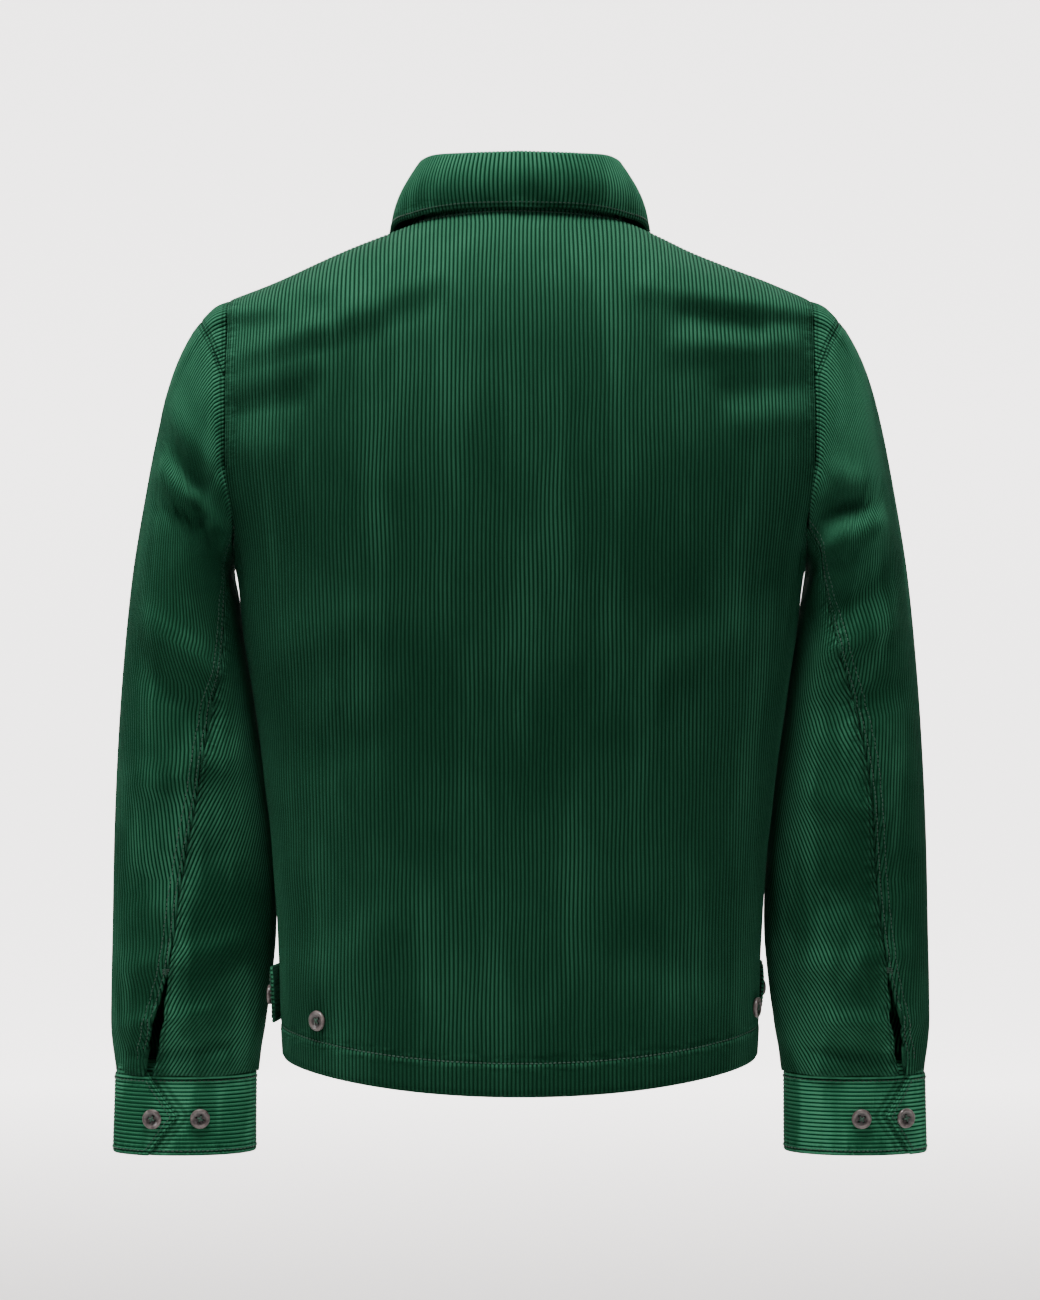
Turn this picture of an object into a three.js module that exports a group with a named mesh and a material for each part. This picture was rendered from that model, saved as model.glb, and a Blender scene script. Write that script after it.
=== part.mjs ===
// A corduroy jacket of shirt cut, worn and hollow. Millimetres, +Z up, its front faces -Y and the
// wearer's left is +X. The origin is the middle of the neck, level with the tops of the shoulder seams.
// Every panel is a wall of cloth: its outer points are worked out from the sizes below, and the inner
// points lie one wall further in.
import * as THREE from 'three';

// Driving sizes of the cloth
const WALL = 2;
const HEM_WALL = 3.4;
const HEM_TURN = 24;
const SEAM_GAP = 0.3;

// Shoulders, neck and armhole
const NECK_HALF = 74;
const NECK_BACK_RISE = 3;
const NECK_FRONT_DROP = 74;
const SHOULDER_FALL = 0.425;
const SHOULDER_TIP = -62;
const ARMHOLE_X = 215;
const ARMHOLE_TURN = -185;
const ARMPIT = -250;

// Hem and front edge
const HEM_BACK = -637.5;
const HEM_RISE = 15.5;
const FRONT_LAP = 16;
const FRONT_LAP_DEPTH = 3.9;
const FRONT_LAP_CLEAR = 1.5;

// Mesh steps
const CENTRE_COLUMNS = 10;
const SIDE_COLUMNS = 5;
const LOWER_ROWS = 15;
const UPPER_ROWS = 8;
const SLEEVE_ROWS = 17;
const COLLAR_COLUMNS = 28;

// Horizontal sections of the body: half width, depth behind, depth in front, squareness
const BODY = [
  { z: -645, wide: 175.5, back: 121, front: 121, square: 2.4 },
  { z: -580, wide: 179, back: 118, front: 120, square: 2.4 },
  { z: -500, wide: 182.5, back: 113, front: 118, square: 2.38 },
  { z: -420, wide: 190.5, back: 112, front: 118, square: 2.35 },
  { z: -320, wide: 204, back: 119, front: 121, square: 2.35 },
  { z: -250, wide: 214, back: 125, front: 122, square: 2.4 },
  { z: -185, wide: 234.5, back: 126, front: 118, square: 2.4 },
  { z: -150, wide: 239, back: 124, front: 111, square: 2.33 },
  { z: -100, wide: 236, back: 117, front: 95, square: 2.25 },
  { z: -74, wide: 229, back: 110, front: 83, square: 2.18 },
  { z: -50, wide: 193, back: 101, front: 69, square: 2.12 },
  { z: -25, wide: 134, back: 87, front: 51, square: 2.06 },
  { z: 0, wide: 75.7, back: 66, front: 31, square: 2 },
];

// Sleeve rings from the armhole to the cuff: outer and inner line, middle and half of the depth
const SLEEVE = [
  { t: 0, outX: 215, outZ: -59.5, inX: 214.5, inZ: -250, midY: 1, halfY: 62 },
  { t: 0.04, outX: 227, outZ: -65, inX: 216, inZ: -254, midY: 0, halfY: 66 },
  { t: 0.1, outX: 243, outZ: -83, inX: 217, inZ: -260, midY: -2, halfY: 70 },
  { t: 0.17, outX: 258, outZ: -112, inX: 217, inZ: -269, midY: -4, halfY: 73 },
  { t: 0.25, outX: 270, outZ: -152, inX: 213, inZ: -281, midY: -7, halfY: 75 },
  { t: 0.34, outX: 281, outZ: -205, inX: 210.5, inZ: -299, midY: -11, halfY: 75 },
  { t: 0.43, outX: 291, outZ: -262, inX: 206.5, inZ: -324, midY: -15, halfY: 72 },
  { t: 0.54, outX: 298.5, outZ: -330, inX: 200.5, inZ: -365, midY: -18, halfY: 68 },
  { t: 0.65, outX: 303.5, outZ: -395, inX: 194, inZ: -413, midY: -20, halfY: 63 },
  { t: 0.76, outX: 307, outZ: -462, inX: 187.5, inZ: -472, midY: -23, halfY: 56 },
  { t: 0.86, outX: 309, outZ: -530, inX: 185.5, inZ: -535, midY: -27, halfY: 48 },
  { t: 0.94, outX: 310.5, outZ: -594, inX: 192.5, inZ: -596, midY: -31, halfY: 40 },
  { t: 1, outX: 308.5, outZ: -640, inX: 200, inZ: -640, midY: -34, halfY: 33 },
];

// Where the seams of the sleeves run, in degrees round the ring from its outer line: the back seam of
// the left sleeve, that of the right one, and the front seam of both
const SLEEVE_SEAMS = [
  { t: 0, left: 152, right: 142, front: -150 },
  { t: 0.1, left: 151, right: 141, front: -150 },
  { t: 0.3, left: 143, right: 130, front: -147 },
  { t: 0.47, left: 131, right: 110, front: -140 },
  { t: 0.565, left: 115, right: 94, front: -132 },
  { t: 0.67, left: 103, right: 81, front: -125 },
  { t: 0.8, left: 86, right: 73, front: -116 },
  { t: 0.9, left: 77, right: 65, front: -109 },
  { t: 1, left: 63, right: 52, front: -100 },
];
const HEAD_REACH = 67;
const HEAD_DEPTH = 0.078;
const HEAD_END = 0.006;
const HEAD_ROWS = 2;
const HEAD_GAP = 0.0016;
const VENT_TOP = 0.9;
const VENT_WIDTH = 10;

// Cuffs
const CUFF_HEIGHT = 60;
const CUFF_LAP = 2.7;
const CUFF_TAPER = 23;
const CUFF_UNDER_END = 36;
const CUFF_BUTTON_DROP = 32;

// Angle of the cuff's point and of its two buttons, round the ring from its outer line
const CUFF_PLACES = {
  left: { point: 87, lapButton: 68, spareButton: 105 },
  right: { point: 69, lapButton: 52, spareButton: 88 },
};

// Folds of the cloth: from one point to the other as seen from behind, width and height
const BACK_FOLDS = [
  { x1: 209, z1: -107, x2: 107, z2: -80, width: 13, height: 4 },
  { x1: 168, z1: -64, x2: 138, z2: -78, width: 12, height: -3.5 },
  { x1: -91, z1: -60, x2: -190, z2: -68, width: 11, height: 3.5 },
  { x1: -121, z1: -80, x2: -171, z2: -92, width: 12, height: -4 },
];
const LEFT_SLEEVE_FOLDS = [
  { x1: 262, z1: -138, x2: 216, z2: -197, width: 9, height: 4 },
  { x1: 263, z1: -188, x2: 214, z2: -240, width: 9, height: 5 },
  { x1: 268, z1: -155, x2: 240, z2: -200, width: 8, height: -4 },
];
const RIGHT_SLEEVE_FOLDS = [
  { x1: 223, z1: -246, x2: 262, z2: -228, width: 9, height: 5 },
  { x1: 222, z1: -190, x2: 255, z2: -204, width: 10, height: 3 },
  { x1: 224, z1: -222, x2: 262, z2: -206, width: 8, height: -4 },
];

// Collar, by the angle round the neck from the middle of the back to the front end
const COLLAR_END = 166;
const COLLAR_WALL = 2.2;
const COLLAR = [
  { angle: 0, neckZ: 3, foldX: 0, foldY: 78, foldZ: 41.5, edgeX: 0, edgeY: 74, edgeZ: 2 },
  { angle: 30, neckZ: 2.25, foldX: 41, foldY: 66, foldZ: 42, edgeX: 44, edgeY: 64, edgeZ: 2.5 },
  { angle: 60, neckZ: 0.75, foldX: 68, foldY: 36, foldZ: 44, edgeX: 78, edgeY: 36, edgeZ: 2 },
  { angle: 90, neckZ: 0, foldX: 77, foldY: -2, foldZ: 38, edgeX: 98, edgeY: 0, edgeZ: 0 },
  { angle: 120, neckZ: -30, foldX: 66, foldY: -46, foldZ: 10, edgeX: 94, edgeY: -58, edgeZ: -32 },
  { angle: 145, neckZ: -58, foldX: 40, foldY: -74, foldZ: -24, edgeX: 74, edgeY: -100, edgeZ: -84 },
  { angle: 166, neckZ: -72, foldX: 14, foldY: -91, foldZ: -45, edgeX: 50, edgeY: -118, edgeZ: -124 },
];

// Tabs at the sides of the hem
const TAB_TOP = -556;
const TAB_BOTTOM = -597;
const TAB_LENGTH = 74;
const TAB_LIFT = 4.5;
const TAB_BUTTON_PLACE = 0.82;
const TAB_END_ANGLES = { left: 80, right: 97 };

// Buttons by the sides of the back's hem and down the front edge
const HEM_BUTTONS = { left: { x: 145.6, z: -588 }, right: { x: -173, z: -583 } };
const FRONT_BUTTONS = 6;
const FRONT_BUTTON_TOP = -104;
const FRONT_BUTTON_BOTTOM = -594;

// Buttons
const BUTTON_RADIUS = 7.5;
const BUTTON_THICK = 3.2;
const BUTTON_DISH = 1;
const BUTTON_SIDES = 14;
const BUTTON_SEAT = 0.4;

const CLOTH = { color: 0x16402f, roughness: 0.92, metalness: 0 };
const HORN = { color: 0x54504c, roughness: 0.42, metalness: 0 };

const radians = THREE.MathUtils.degToRad;

// A column of a table at a place between its rows, on a smooth curve through them
function lookup(rows, key, column, at) {
  const rising = rows[0][key] < rows[rows.length - 1][key];
  const place = rising ? at : -at;
  const keyOf = (i) => (rising ? rows[i][key] : -rows[i][key]);
  const last = rows.length - 1;
  if (place <= keyOf(0)) {
    return rows[0][column];
  }
  if (place >= keyOf(last)) {
    return rows[last][column];
  }
  let i = 0;
  while (keyOf(i + 1) < place) {
    i += 1;
  }
  const slope = (j) => {
    const before = Math.max(j - 1, 0);
    const after = Math.min(j + 1, last);
    return (rows[after][column] - rows[before][column]) / (keyOf(after) - keyOf(before));
  };
  const span = keyOf(i + 1) - keyOf(i);
  const s = (place - keyOf(i)) / span;
  const h1 = 2 * s ** 3 - 3 * s ** 2 + 1;
  const h2 = s ** 3 - 2 * s ** 2 + s;
  const h3 = 3 * s ** 2 - 2 * s ** 3;
  const h4 = s ** 3 - s ** 2;
  return h1 * rows[i][column] + h2 * span * slope(i) + h3 * rows[i + 1][column] + h4 * span * slope(i + 1);
}

// How far the folds lift the cloth at a place seen from behind
function foldLift(folds, x, z) {
  let lift = 0;
  for (const fold of folds) {
    const along = new THREE.Vector2(fold.x2 - fold.x1, fold.z2 - fold.z1);
    const length = along.length();
    along.normalize();
    const dx = x - fold.x1;
    const dz = z - fold.z1;
    const along01 = (dx * along.x + dz * along.y) / length;
    const beyond = Math.max(0, -along01, along01 - 1) * length;
    const across = dx * along.y - dz * along.x;
    const reach = (across ** 2 + beyond ** 2) / fold.width ** 2;
    lift += fold.height * Math.exp(-reach);
  }
  return lift;
}

// Outward directions of the points of a cloth, from the faces that meet there
function faceNormals(points, faces) {
  const normals = points.map(() => new THREE.Vector3());
  for (const [a, b, c, d] of faces) {
    const one = points[c].clone().sub(points[a]);
    const other = points[d].clone().sub(points[b]);
    const normal = one.cross(other);
    for (const corner of [a, b, c, d]) {
      normals[corner].add(normal);
    }
  }
  return normals.map((normal) => normal.normalize());
}

// A wall of cloth from its outer points, its four cornered faces and its outward directions
function clothBody(points, faces, wallAt, normals) {
  const inner = points.map((point, i) => point.clone().addScaledVector(normals[i], -wallAt(point)));
  const count = points.length;
  const edges = new Map();
  for (const face of faces) {
    for (let i = 0; i < 4; i += 1) {
      const from = face[i];
      const to = face[(i + 1) % 4];
      edges.set(`${from},${to}`, [from, to]);
    }
  }
  const quads = faces.map((face) => face.slice());
  for (const [a, b, c, d] of faces) {
    quads.push([d + count, c + count, b + count, a + count]);
  }
  for (const [from, to] of edges.values()) {
    if (!edges.has(`${to},${from}`)) {
      quads.push([to, from, from + count, to + count]);
    }
  }
  const index = [];
  for (const [a, b, c, d] of quads) {
    index.push(a, b, c, a, c, d);
  }
  const geometry = new THREE.BufferGeometry();
  const positions = points.concat(inner).flatMap((point) => point.toArray());
  geometry.setAttribute('position', new THREE.Float32BufferAttribute(positions, 3));
  geometry.setIndex(index);
  geometry.computeVertexNormals();
  return geometry;
}

// A wall over a plain grid: place(row, column) gives an outer point. With turned true the faces are
// wound the other way, for a grid whose columns run against the outward side. The wall goes in along
// the mean of the faces, or along outwardAt where two pieces share a seam.
function gridBody(rows, columns, place, wallAt, turned, outwardAt) {
  const points = [];
  const faces = [];
  for (let r = 0; r <= rows; r += 1) {
    for (let c = 0; c <= columns; c += 1) {
      points.push(place(r, c));
    }
  }
  const at = (r, c) => r * (columns + 1) + c;
  for (let r = 0; r < rows; r += 1) {
    for (let c = 0; c < columns; c += 1) {
      const face = [at(r, c), at(r, c + 1), at(r + 1, c + 1), at(r + 1, c)];
      faces.push(turned ? face.reverse() : face);
    }
  }
  const normals = faceNormals(points, faces);
  if (outwardAt) {
    normals.forEach((normal, i) => {
      normal.copy(outwardAt(Math.floor(i / (columns + 1)), i % (columns + 1)));
    });
  }
  return clothBody(points, faces, wallAt, normals);
}

const plainWall = () => WALL;
const hemWall = (point) => (point.z < HEM_BACK + HEM_TURN ? HEM_WALL : WALL);

// Half width of the body at a height: the shoulder slope above the shoulder tip, the table below it
function halfWidth(z) {
  if (z > SHOULDER_TIP) {
    return 75.7 - z / SHOULDER_FALL;
  }
  return lookup(BODY, 'z', 'wide', z);
}

// Depth of the body at a height and a distance from the middle, behind or in front
function bodyDepth(face, x, z) {
  const square = lookup(BODY, 'z', 'square', z);
  const part = Math.min(Math.abs(x) / halfWidth(z), 1);
  return lookup(BODY, 'z', face, z) * (1 - part ** square) ** (1 / square);
}

// Angle of a body column that passes through a distance from the middle at the armhole's turn
function columnAngle(x) {
  const square = lookup(BODY, 'z', 'square', ARMHOLE_TURN);
  const part = Math.abs(x) / halfWidth(ARMHOLE_TURN);
  return Math.sign(x) * Math.asin(part ** (square / 2));
}

// Distance from the middle of a body column at a height
function columnX(angle, z) {
  const square = lookup(BODY, 'z', 'square', z);
  return Math.sign(angle) * halfWidth(z) * Math.abs(Math.sin(angle)) ** (2 / square);
}

const ARMHOLE_ANGLE = columnAngle(ARMHOLE_X);
const SIDE_ANGLE = Math.PI / 2;

// Height of the hem below a distance from the middle
function hemHeight(x) {
  return HEM_BACK + HEM_RISE * (x / 177) ** 2;
}

// Top of a body column: the neck line near the middle, the shoulder seam further out
function columnTop(face, x) {
  const far = Math.abs(x);
  const ridge = (75.7 - far) * SHOULDER_FALL;
  if (far >= NECK_HALF) {
    return { ridge, top: ridge };
  }
  const part = far / NECK_HALF;
  if (face === 'back') {
    return { ridge, top: NECK_BACK_RISE * (1 - part ** 2) };
  }
  return { ridge, top: -NECK_FRONT_DROP * Math.sqrt(1 - part ** 2) };
}

// A point of the body: below the armhole's turn a column keeps its angle round the section, and above
// it the column keeps its distance from the middle and rounds over to the shoulder seam
function bodyPoint(face, angle, row, scoop) {
  const sign = face === 'back' ? 1 : -1;
  if (row <= LOWER_ROWS) {
    const top = scoop === undefined ? ARMHOLE_TURN : scoop;
    const bottom = hemHeight(columnX(angle, HEM_BACK));
    const z = THREE.MathUtils.lerp(bottom, top, row / LOWER_ROWS);
    const x = columnX(angle, z);
    const square = lookup(BODY, 'z', 'square', z);
    const depth = lookup(BODY, 'z', face, z) * Math.abs(Math.cos(angle)) ** (2 / square);
    return new THREE.Vector3(x, sign * Math.max(depth, SEAM_GAP / 2), z);
  }
  const x = columnX(angle, ARMHOLE_TURN);
  const { ridge, top } = columnTop(face, x);
  const stop = Math.asin((top - ARMHOLE_TURN) / (ridge - ARMHOLE_TURN));
  const turn = (stop * (row - LOWER_ROWS)) / UPPER_ROWS;
  const z = ARMHOLE_TURN + (ridge - ARMHOLE_TURN) * Math.sin(turn);
  return new THREE.Vector3(x, sign * Math.max(bodyDepth(face, x, z), SEAM_GAP / 2), z);
}

// Angle and height of the armhole's lower curve, from its turn to the side seam
function scoopAt(part) {
  const turn = (part * Math.PI) / 2;
  return {
    angle: ARMHOLE_ANGLE + (SIDE_ANGLE - ARMHOLE_ANGLE) * (1 - Math.cos(turn)),
    z: ARMHOLE_TURN + (ARMPIT - ARMHOLE_TURN) * Math.sin(turn),
  };
}

// A body panel between two columns: rows run up from the hem, columns that pass under the armhole end
// at its lower curve. The list of columns holds an angle and, for those, the height where it ends.
function bodyPanel(face, columns, shift) {
  const points = [];
  const faces = [];
  const ids = columns.map(() => []);
  columns.forEach((column, c) => {
    const rows = column.scoop === undefined ? LOWER_ROWS + UPPER_ROWS : LOWER_ROWS;
    for (let row = 0; row <= rows; row += 1) {
      ids[c].push(points.length);
      points.push(shift(bodyPoint(face, column.angle, row, column.scoop)));
    }
  });
  for (let c = 0; c + 1 < columns.length; c += 1) {
    const rows = Math.min(ids[c].length, ids[c + 1].length) - 1;
    for (let row = 0; row < rows; row += 1) {
      const quad = [ids[c][row], ids[c + 1][row], ids[c + 1][row + 1], ids[c][row + 1]];
      faces.push(face === 'back' ? quad.reverse() : quad);
    }
  }
  const normals = faceNormals(points, faces);
  points.forEach((point, i) => {
    if (Math.abs(point.y) < SEAM_GAP) {
      normals[i].y = 0;
      normals[i].normalize();
    }
  });
  return clothBody(points, faces, hemWall, normals);
}

// Columns under one armhole, from the seam of the armhole to the side seam
function sideColumns(sign) {
  const columns = [];
  for (let i = 1; i <= SIDE_COLUMNS; i += 1) {
    const { angle, z } = scoopAt(i / SIDE_COLUMNS);
    columns.push({ angle: sign * angle, scoop: z });
  }
  return columns;
}

// Columns between two distances from the middle, in even steps of angle
function middleColumns(from, to, steps) {
  const start = Math.asin(from / halfWidth(ARMHOLE_TURN));
  const end = Math.asin(to / halfWidth(ARMHOLE_TURN));
  const columns = [];
  for (let i = 0; i <= steps; i += 1) {
    const x = halfWidth(ARMHOLE_TURN) * Math.sin(THREE.MathUtils.lerp(start, end, i / steps));
    columns.push({ angle: columnAngle(x) });
  }
  return columns;
}

function backPanel() {
  const columns = [
    ...sideColumns(-1).reverse(),
    ...middleColumns(-ARMHOLE_X, ARMHOLE_X, 2 * CENTRE_COLUMNS),
    ...sideColumns(1),
  ];
  const shift = (point) => {
    const inside = Math.min(1, Math.max(0, (point.y - 40) / 40));
    point.y += inside * foldLift(BACK_FOLDS, point.x, point.z);
    return point;
  };
  return bodyPanel('back', columns, shift);
}

// A front panel: the wearer's left laps over the right along the middle
function frontPanel(side) {
  const over = side > 0;
  const edge = FRONT_LAP + FRONT_LAP_CLEAR;
  const columns = [
    ...middleColumns(-FRONT_LAP, edge, 2).slice(0, -1),
    ...middleColumns(edge, ARMHOLE_X, CENTRE_COLUMNS - 1),
    ...sideColumns(1),
  ];
  if (!over) {
    columns.reverse();
  }
  const shift = (point) => {
    if (!over) {
      const sunk = 1 - THREE.MathUtils.smoothstep(point.x, edge + 1, 2 * edge);
      point.y += FRONT_LAP_DEPTH * sunk;
      point.x = -point.x;
    }
    return point;
  };
  return bodyPanel('front', columns, shift);
}

// The armhole's seam, from the top over the back to the armpit, and round the front to the top again,
// with the angle that each point has round the sleeve
function armholeSeam() {
  const half = (face) => {
    const list = [];
    for (let row = LOWER_ROWS + UPPER_ROWS; row > LOWER_ROWS; row -= 1) {
      list.push(bodyPoint(face, ARMHOLE_ANGLE, row));
    }
    for (let i = 0; i <= SIDE_COLUMNS; i += 1) {
      const { angle, z } = scoopAt(i / SIDE_COLUMNS);
      list.push(bodyPoint(face, angle, LOWER_ROWS, z));
    }
    return list;
  };
  const top = SLEEVE[0];
  const middle = (top.outZ + top.inZ) / 2;
  const tall = (top.outZ - top.inZ) / 2;
  const seam = [];
  const add = (point, sign) => {
    const rise = THREE.MathUtils.clamp((point.z - middle) / tall, -1, 1);
    seam.push({ angle: (sign * Math.acos(rise) * 180) / Math.PI, point });
  };
  half('front').slice(1, -1).forEach((point) => add(point, -1));
  half('back').forEach((point) => add(point, 1));
  seam.push({ angle: -180, point: seam[seam.length - 1].point });
  seam.sort((one, other) => one.angle - other.angle);
  return seam;
}

const ARMHOLE = armholeSeam();

// A point of the armhole's seam at an angle round the sleeve
function armholePoint(angle) {
  const turn = THREE.MathUtils.euclideanModulo(angle + 180, 360) - 180;
  let i = 0;
  while (i + 2 < ARMHOLE.length && ARMHOLE[i + 1].angle < turn) {
    i += 1;
  }
  const span = ARMHOLE[i + 1].angle - ARMHOLE[i].angle;
  const part = THREE.MathUtils.clamp((turn - ARMHOLE[i].angle) / span, 0, 1);
  return ARMHOLE[i].point.clone().lerp(ARMHOLE[i + 1].point, part);
}

// A ring of the left sleeve as an ellipse between its outer and inner line
function sleeveRing(t, angle) {
  const column = (name) => lookup(SLEEVE, 't', name, t);
  const round = Math.cos(radians(angle));
  const x = (column('outX') + column('inX')) / 2 + ((column('outX') - column('inX')) / 2) * round;
  const z = (column('outZ') + column('inZ')) / 2 + ((column('outZ') - column('inZ')) / 2) * round;
  const y = column('midY') + column('halfY') * Math.sin(radians(angle));
  return new THREE.Vector3(x, y, z);
}

// A point of the left sleeve: its rings leave the armhole's own seam and become ellipses
function sleevePoint(t, angle, folds) {
  const ring = sleeveRing(t, angle);
  const away = armholePoint(angle).sub(sleeveRing(0, angle));
  away.x += SEAM_GAP;
  ring.addScaledVector(away, (1 - THREE.MathUtils.smoothstep(t, 0, 0.3)));
  const facing = Math.abs(Math.sin(radians(angle)));
  const out = facing * THREE.MathUtils.smoothstep(t, 0, 0.12);
  ring.y += Math.sign(Math.sin(radians(angle))) * out * foldLift(folds, ring.x, ring.z);
  return ring;
}

// Outward direction of the left sleeve. Both ends of it are cut square to their seams.
function sleeveOutward(t, angle, folds) {
  const step = 0.01;
  const before = Math.max(t - step, 0);
  const after = Math.min(t + step, 1);
  const along = sleevePoint(after, angle, folds).sub(sleevePoint(before, angle, folds));
  const around = sleevePoint(t, angle + 1, folds).sub(sleevePoint(t, angle - 1, folds));
  const normal = around.cross(along).negate();
  if (t === 0) {
    normal.x = 0;
  }
  if (t === 1) {
    normal.z = 0;
  }
  return normal.normalize();
}

// How far, in degrees, each side of the back seam stands open at the vent
function ventOpening(t) {
  if (t < VENT_TOP) {
    return 0.2;
  }
  const part = (t - VENT_TOP) / (1 - VENT_TOP);
  return 0.2 + ((VENT_WIDTH / 2) * Math.sin(part * Math.PI * 0.8) * 57) / 50;
}

// How far down the sleeve the head piece reaches at an angle
function headDepth(angle) {
  const part = Math.min(Math.abs(angle) / HEAD_REACH, 1);
  return HEAD_END + (HEAD_DEPTH - HEAD_END) * (1 - part ** 2);
}

// Angles of a strip of sleeve at the armhole: those of the seam's points, and its own two ends
function ringAngles(first, last) {
  const round = ARMHOLE.map((entry) => entry.angle);
  const between = [...round, ...round.map((angle) => angle + 360)].filter(
    (angle) => angle > first + 4 && angle < last - 4,
  );
  const apart = between.filter((angle, i) => i === 0 || angle - between[i - 1] > 1);
  return [first, ...apart, last];
}

// A strip of sleeve between two lines down it, as a wall. Its two limits give t and the angle.
function sleeveStrip(name, rows, angles, limits) {
  const side = name === 'left' ? 1 : -1;
  const folds = side > 0 ? LEFT_SLEEVE_FOLDS : RIGHT_SLEEVE_FOLDS;
  const last = angles.length - 1;
  const mirrored = (point) => {
    point.x *= side;
    return point;
  };
  const at = (row, column) => {
    const across = (angles[column] - angles[0]) / (angles[last] - angles[0]);
    return limits(row / rows, across, angles[column]);
  };
  const place = (row, column) => {
    const { t, angle } = at(row, column);
    return mirrored(sleevePoint(t, angle, folds));
  };
  const outward = (row, column) => {
    const { t, angle } = at(row, column);
    return mirrored(sleeveOutward(t, angle, folds));
  };
  return gridBody(rows, last, place, plainWall, side > 0, outward);
}

// The small head of a sleeve, along the top of the armhole's seam
function sleeveHead(name) {
  const angles = ringAngles(-HEAD_REACH, HEAD_REACH);
  const limits = (down, across, angle) => ({ t: down * headDepth(angle), angle });
  return sleeveStrip(name, HEAD_ROWS, angles, limits);
}

// One of the two long parts of a sleeve, between its seams
function sleevePart(name, part) {
  const seam = (column, t) => lookup(SLEEVE_SEAMS, 't', column, t);
  const top = part === 'top';
  const first = top ? seam('front', 0) : seam(name, 0);
  const last = top ? seam(name, 0) : seam('front', 0) + 360;
  const limits = (down, across, angle) => {
    const below = Math.abs(angle) < HEAD_REACH ? headDepth(angle) : HEAD_END;
    const start = top && Math.abs(angle) < HEAD_REACH + 1 ? below + HEAD_GAP : 0;
    const t = start + (1 - start) * down;
    const from = top ? seam('front', t) + 0.2 : seam(name, t) + ventOpening(t);
    const to = top ? seam(name, t) - ventOpening(t) : seam('front', t) + 360 - 0.2;
    return { t, angle: THREE.MathUtils.lerp(from, to, across) };
  };
  return sleeveStrip(name, SLEEVE_ROWS, ringAngles(first, last), limits);
}

// A point of the left cuff's outside: angle round it, height below its top and how far it stands out
function cuffPoint(angle, down, out) {
  const end = SLEEVE[SLEEVE.length - 1];
  const spread = 1 + (down / CUFF_HEIGHT) * 0.01;
  const halfX = ((end.outX - end.inX) / 2 - 0.6) * spread + out;
  const halfY = (end.halfY - 3) * spread + out;
  const x = (end.outX + end.inX) / 2 + 0.8 * (down / CUFF_HEIGHT) + halfX * Math.cos(radians(angle));
  return new THREE.Vector3(x, end.midY + halfY * Math.sin(radians(angle)), end.outZ - SEAM_GAP - down);
}

// How far the cuff stands out where its end laps over the other
function cuffLap(turn) {
  return CUFF_LAP * THREE.MathUtils.smoothstep(turn, 360, 360 + CUFF_UNDER_END - 4);
}

// A cuff: one band round the wrist, whose pointed end laps over its other end
function cuff(name) {
  const side = name === 'left' ? 1 : -1;
  const rows = 4;
  const columns = 36;
  const place = (row, column) => {
    const down = (row / rows) * CUFF_HEIGHT;
    const near = 1 - Math.abs((2 * down) / CUFF_HEIGHT - 1);
    const end = 360 + CUFF_PLACES[name].point - CUFF_TAPER * (1 - near);
    const turn = THREE.MathUtils.lerp(CUFF_UNDER_END - 6, end, column / columns);
    const point = cuffPoint(turn, down, cuffLap(turn));
    point.x *= side;
    return point;
  };
  return gridBody(rows, columns, place, plainWall, side > 0);
}

// A row of the collar's table at a signed angle round the neck
function collarRow(angle) {
  const turn = Math.abs(angle);
  const sign = Math.sign(angle);
  const column = (name) => lookup(COLLAR, 'angle', name, turn);
  const neckX = NECK_HALF * Math.sin(radians(turn));
  const neckZ = column('neckZ');
  const behind = turn <= 90;
  const depth = bodyDepth(behind ? 'back' : 'front', Math.min(neckX, NECK_HALF - 0.4), neckZ);
  return {
    neck: new THREE.Vector3(sign * neckX, behind ? depth : -depth, neckZ),
    fold: new THREE.Vector3(sign * column('foldX'), column('foldY'), column('foldZ')),
    edge: new THREE.Vector3(sign * column('edgeX'), column('edgeY'), column('edgeZ')),
  };
}

// The collar's stand: from the neck seam up to just below the fold
function collarStand() {
  const rows = 3;
  const place = (row, column) => {
    const angle = THREE.MathUtils.lerp(COLLAR_END, -COLLAR_END, column / COLLAR_COLUMNS);
    const { neck, fold } = collarRow(angle);
    const foot = neck.clone().add(new THREE.Vector3(0, 0, 1.2));
    const head = fold.clone().multiply(new THREE.Vector3(0.95, 0.95, 1));
    head.z -= 3.4;
    return foot.lerp(head, row / rows);
  };
  return gridBody(rows, COLLAR_COLUMNS, place, () => COLLAR_WALL, false);
}

// The collar's fall: from the lip over the stand, over the fold and down to its lower edge
function collarFall() {
  const rows = 7;
  const place = (row, column) => {
    const angle = THREE.MathUtils.lerp(COLLAR_END, -COLLAR_END, column / COLLAR_COLUMNS);
    const { fold, edge } = collarRow(angle);
    if (row === 0) {
      const lip = fold.clone().multiply(new THREE.Vector3(0.95, 0.95, 1));
      lip.z -= 0.4;
      return lip;
    }
    const down = (row - 1) / (rows - 1);
    const point = fold.clone().lerp(edge, down);
    const belly = 5 * Math.sin(down * Math.PI);
    const outward = new THREE.Vector3(edge.x, edge.y, 0).normalize();
    return point.addScaledVector(outward, belly);
  };
  return gridBody(rows, COLLAR_COLUMNS, place, () => COLLAR_WALL, true);
}

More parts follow.
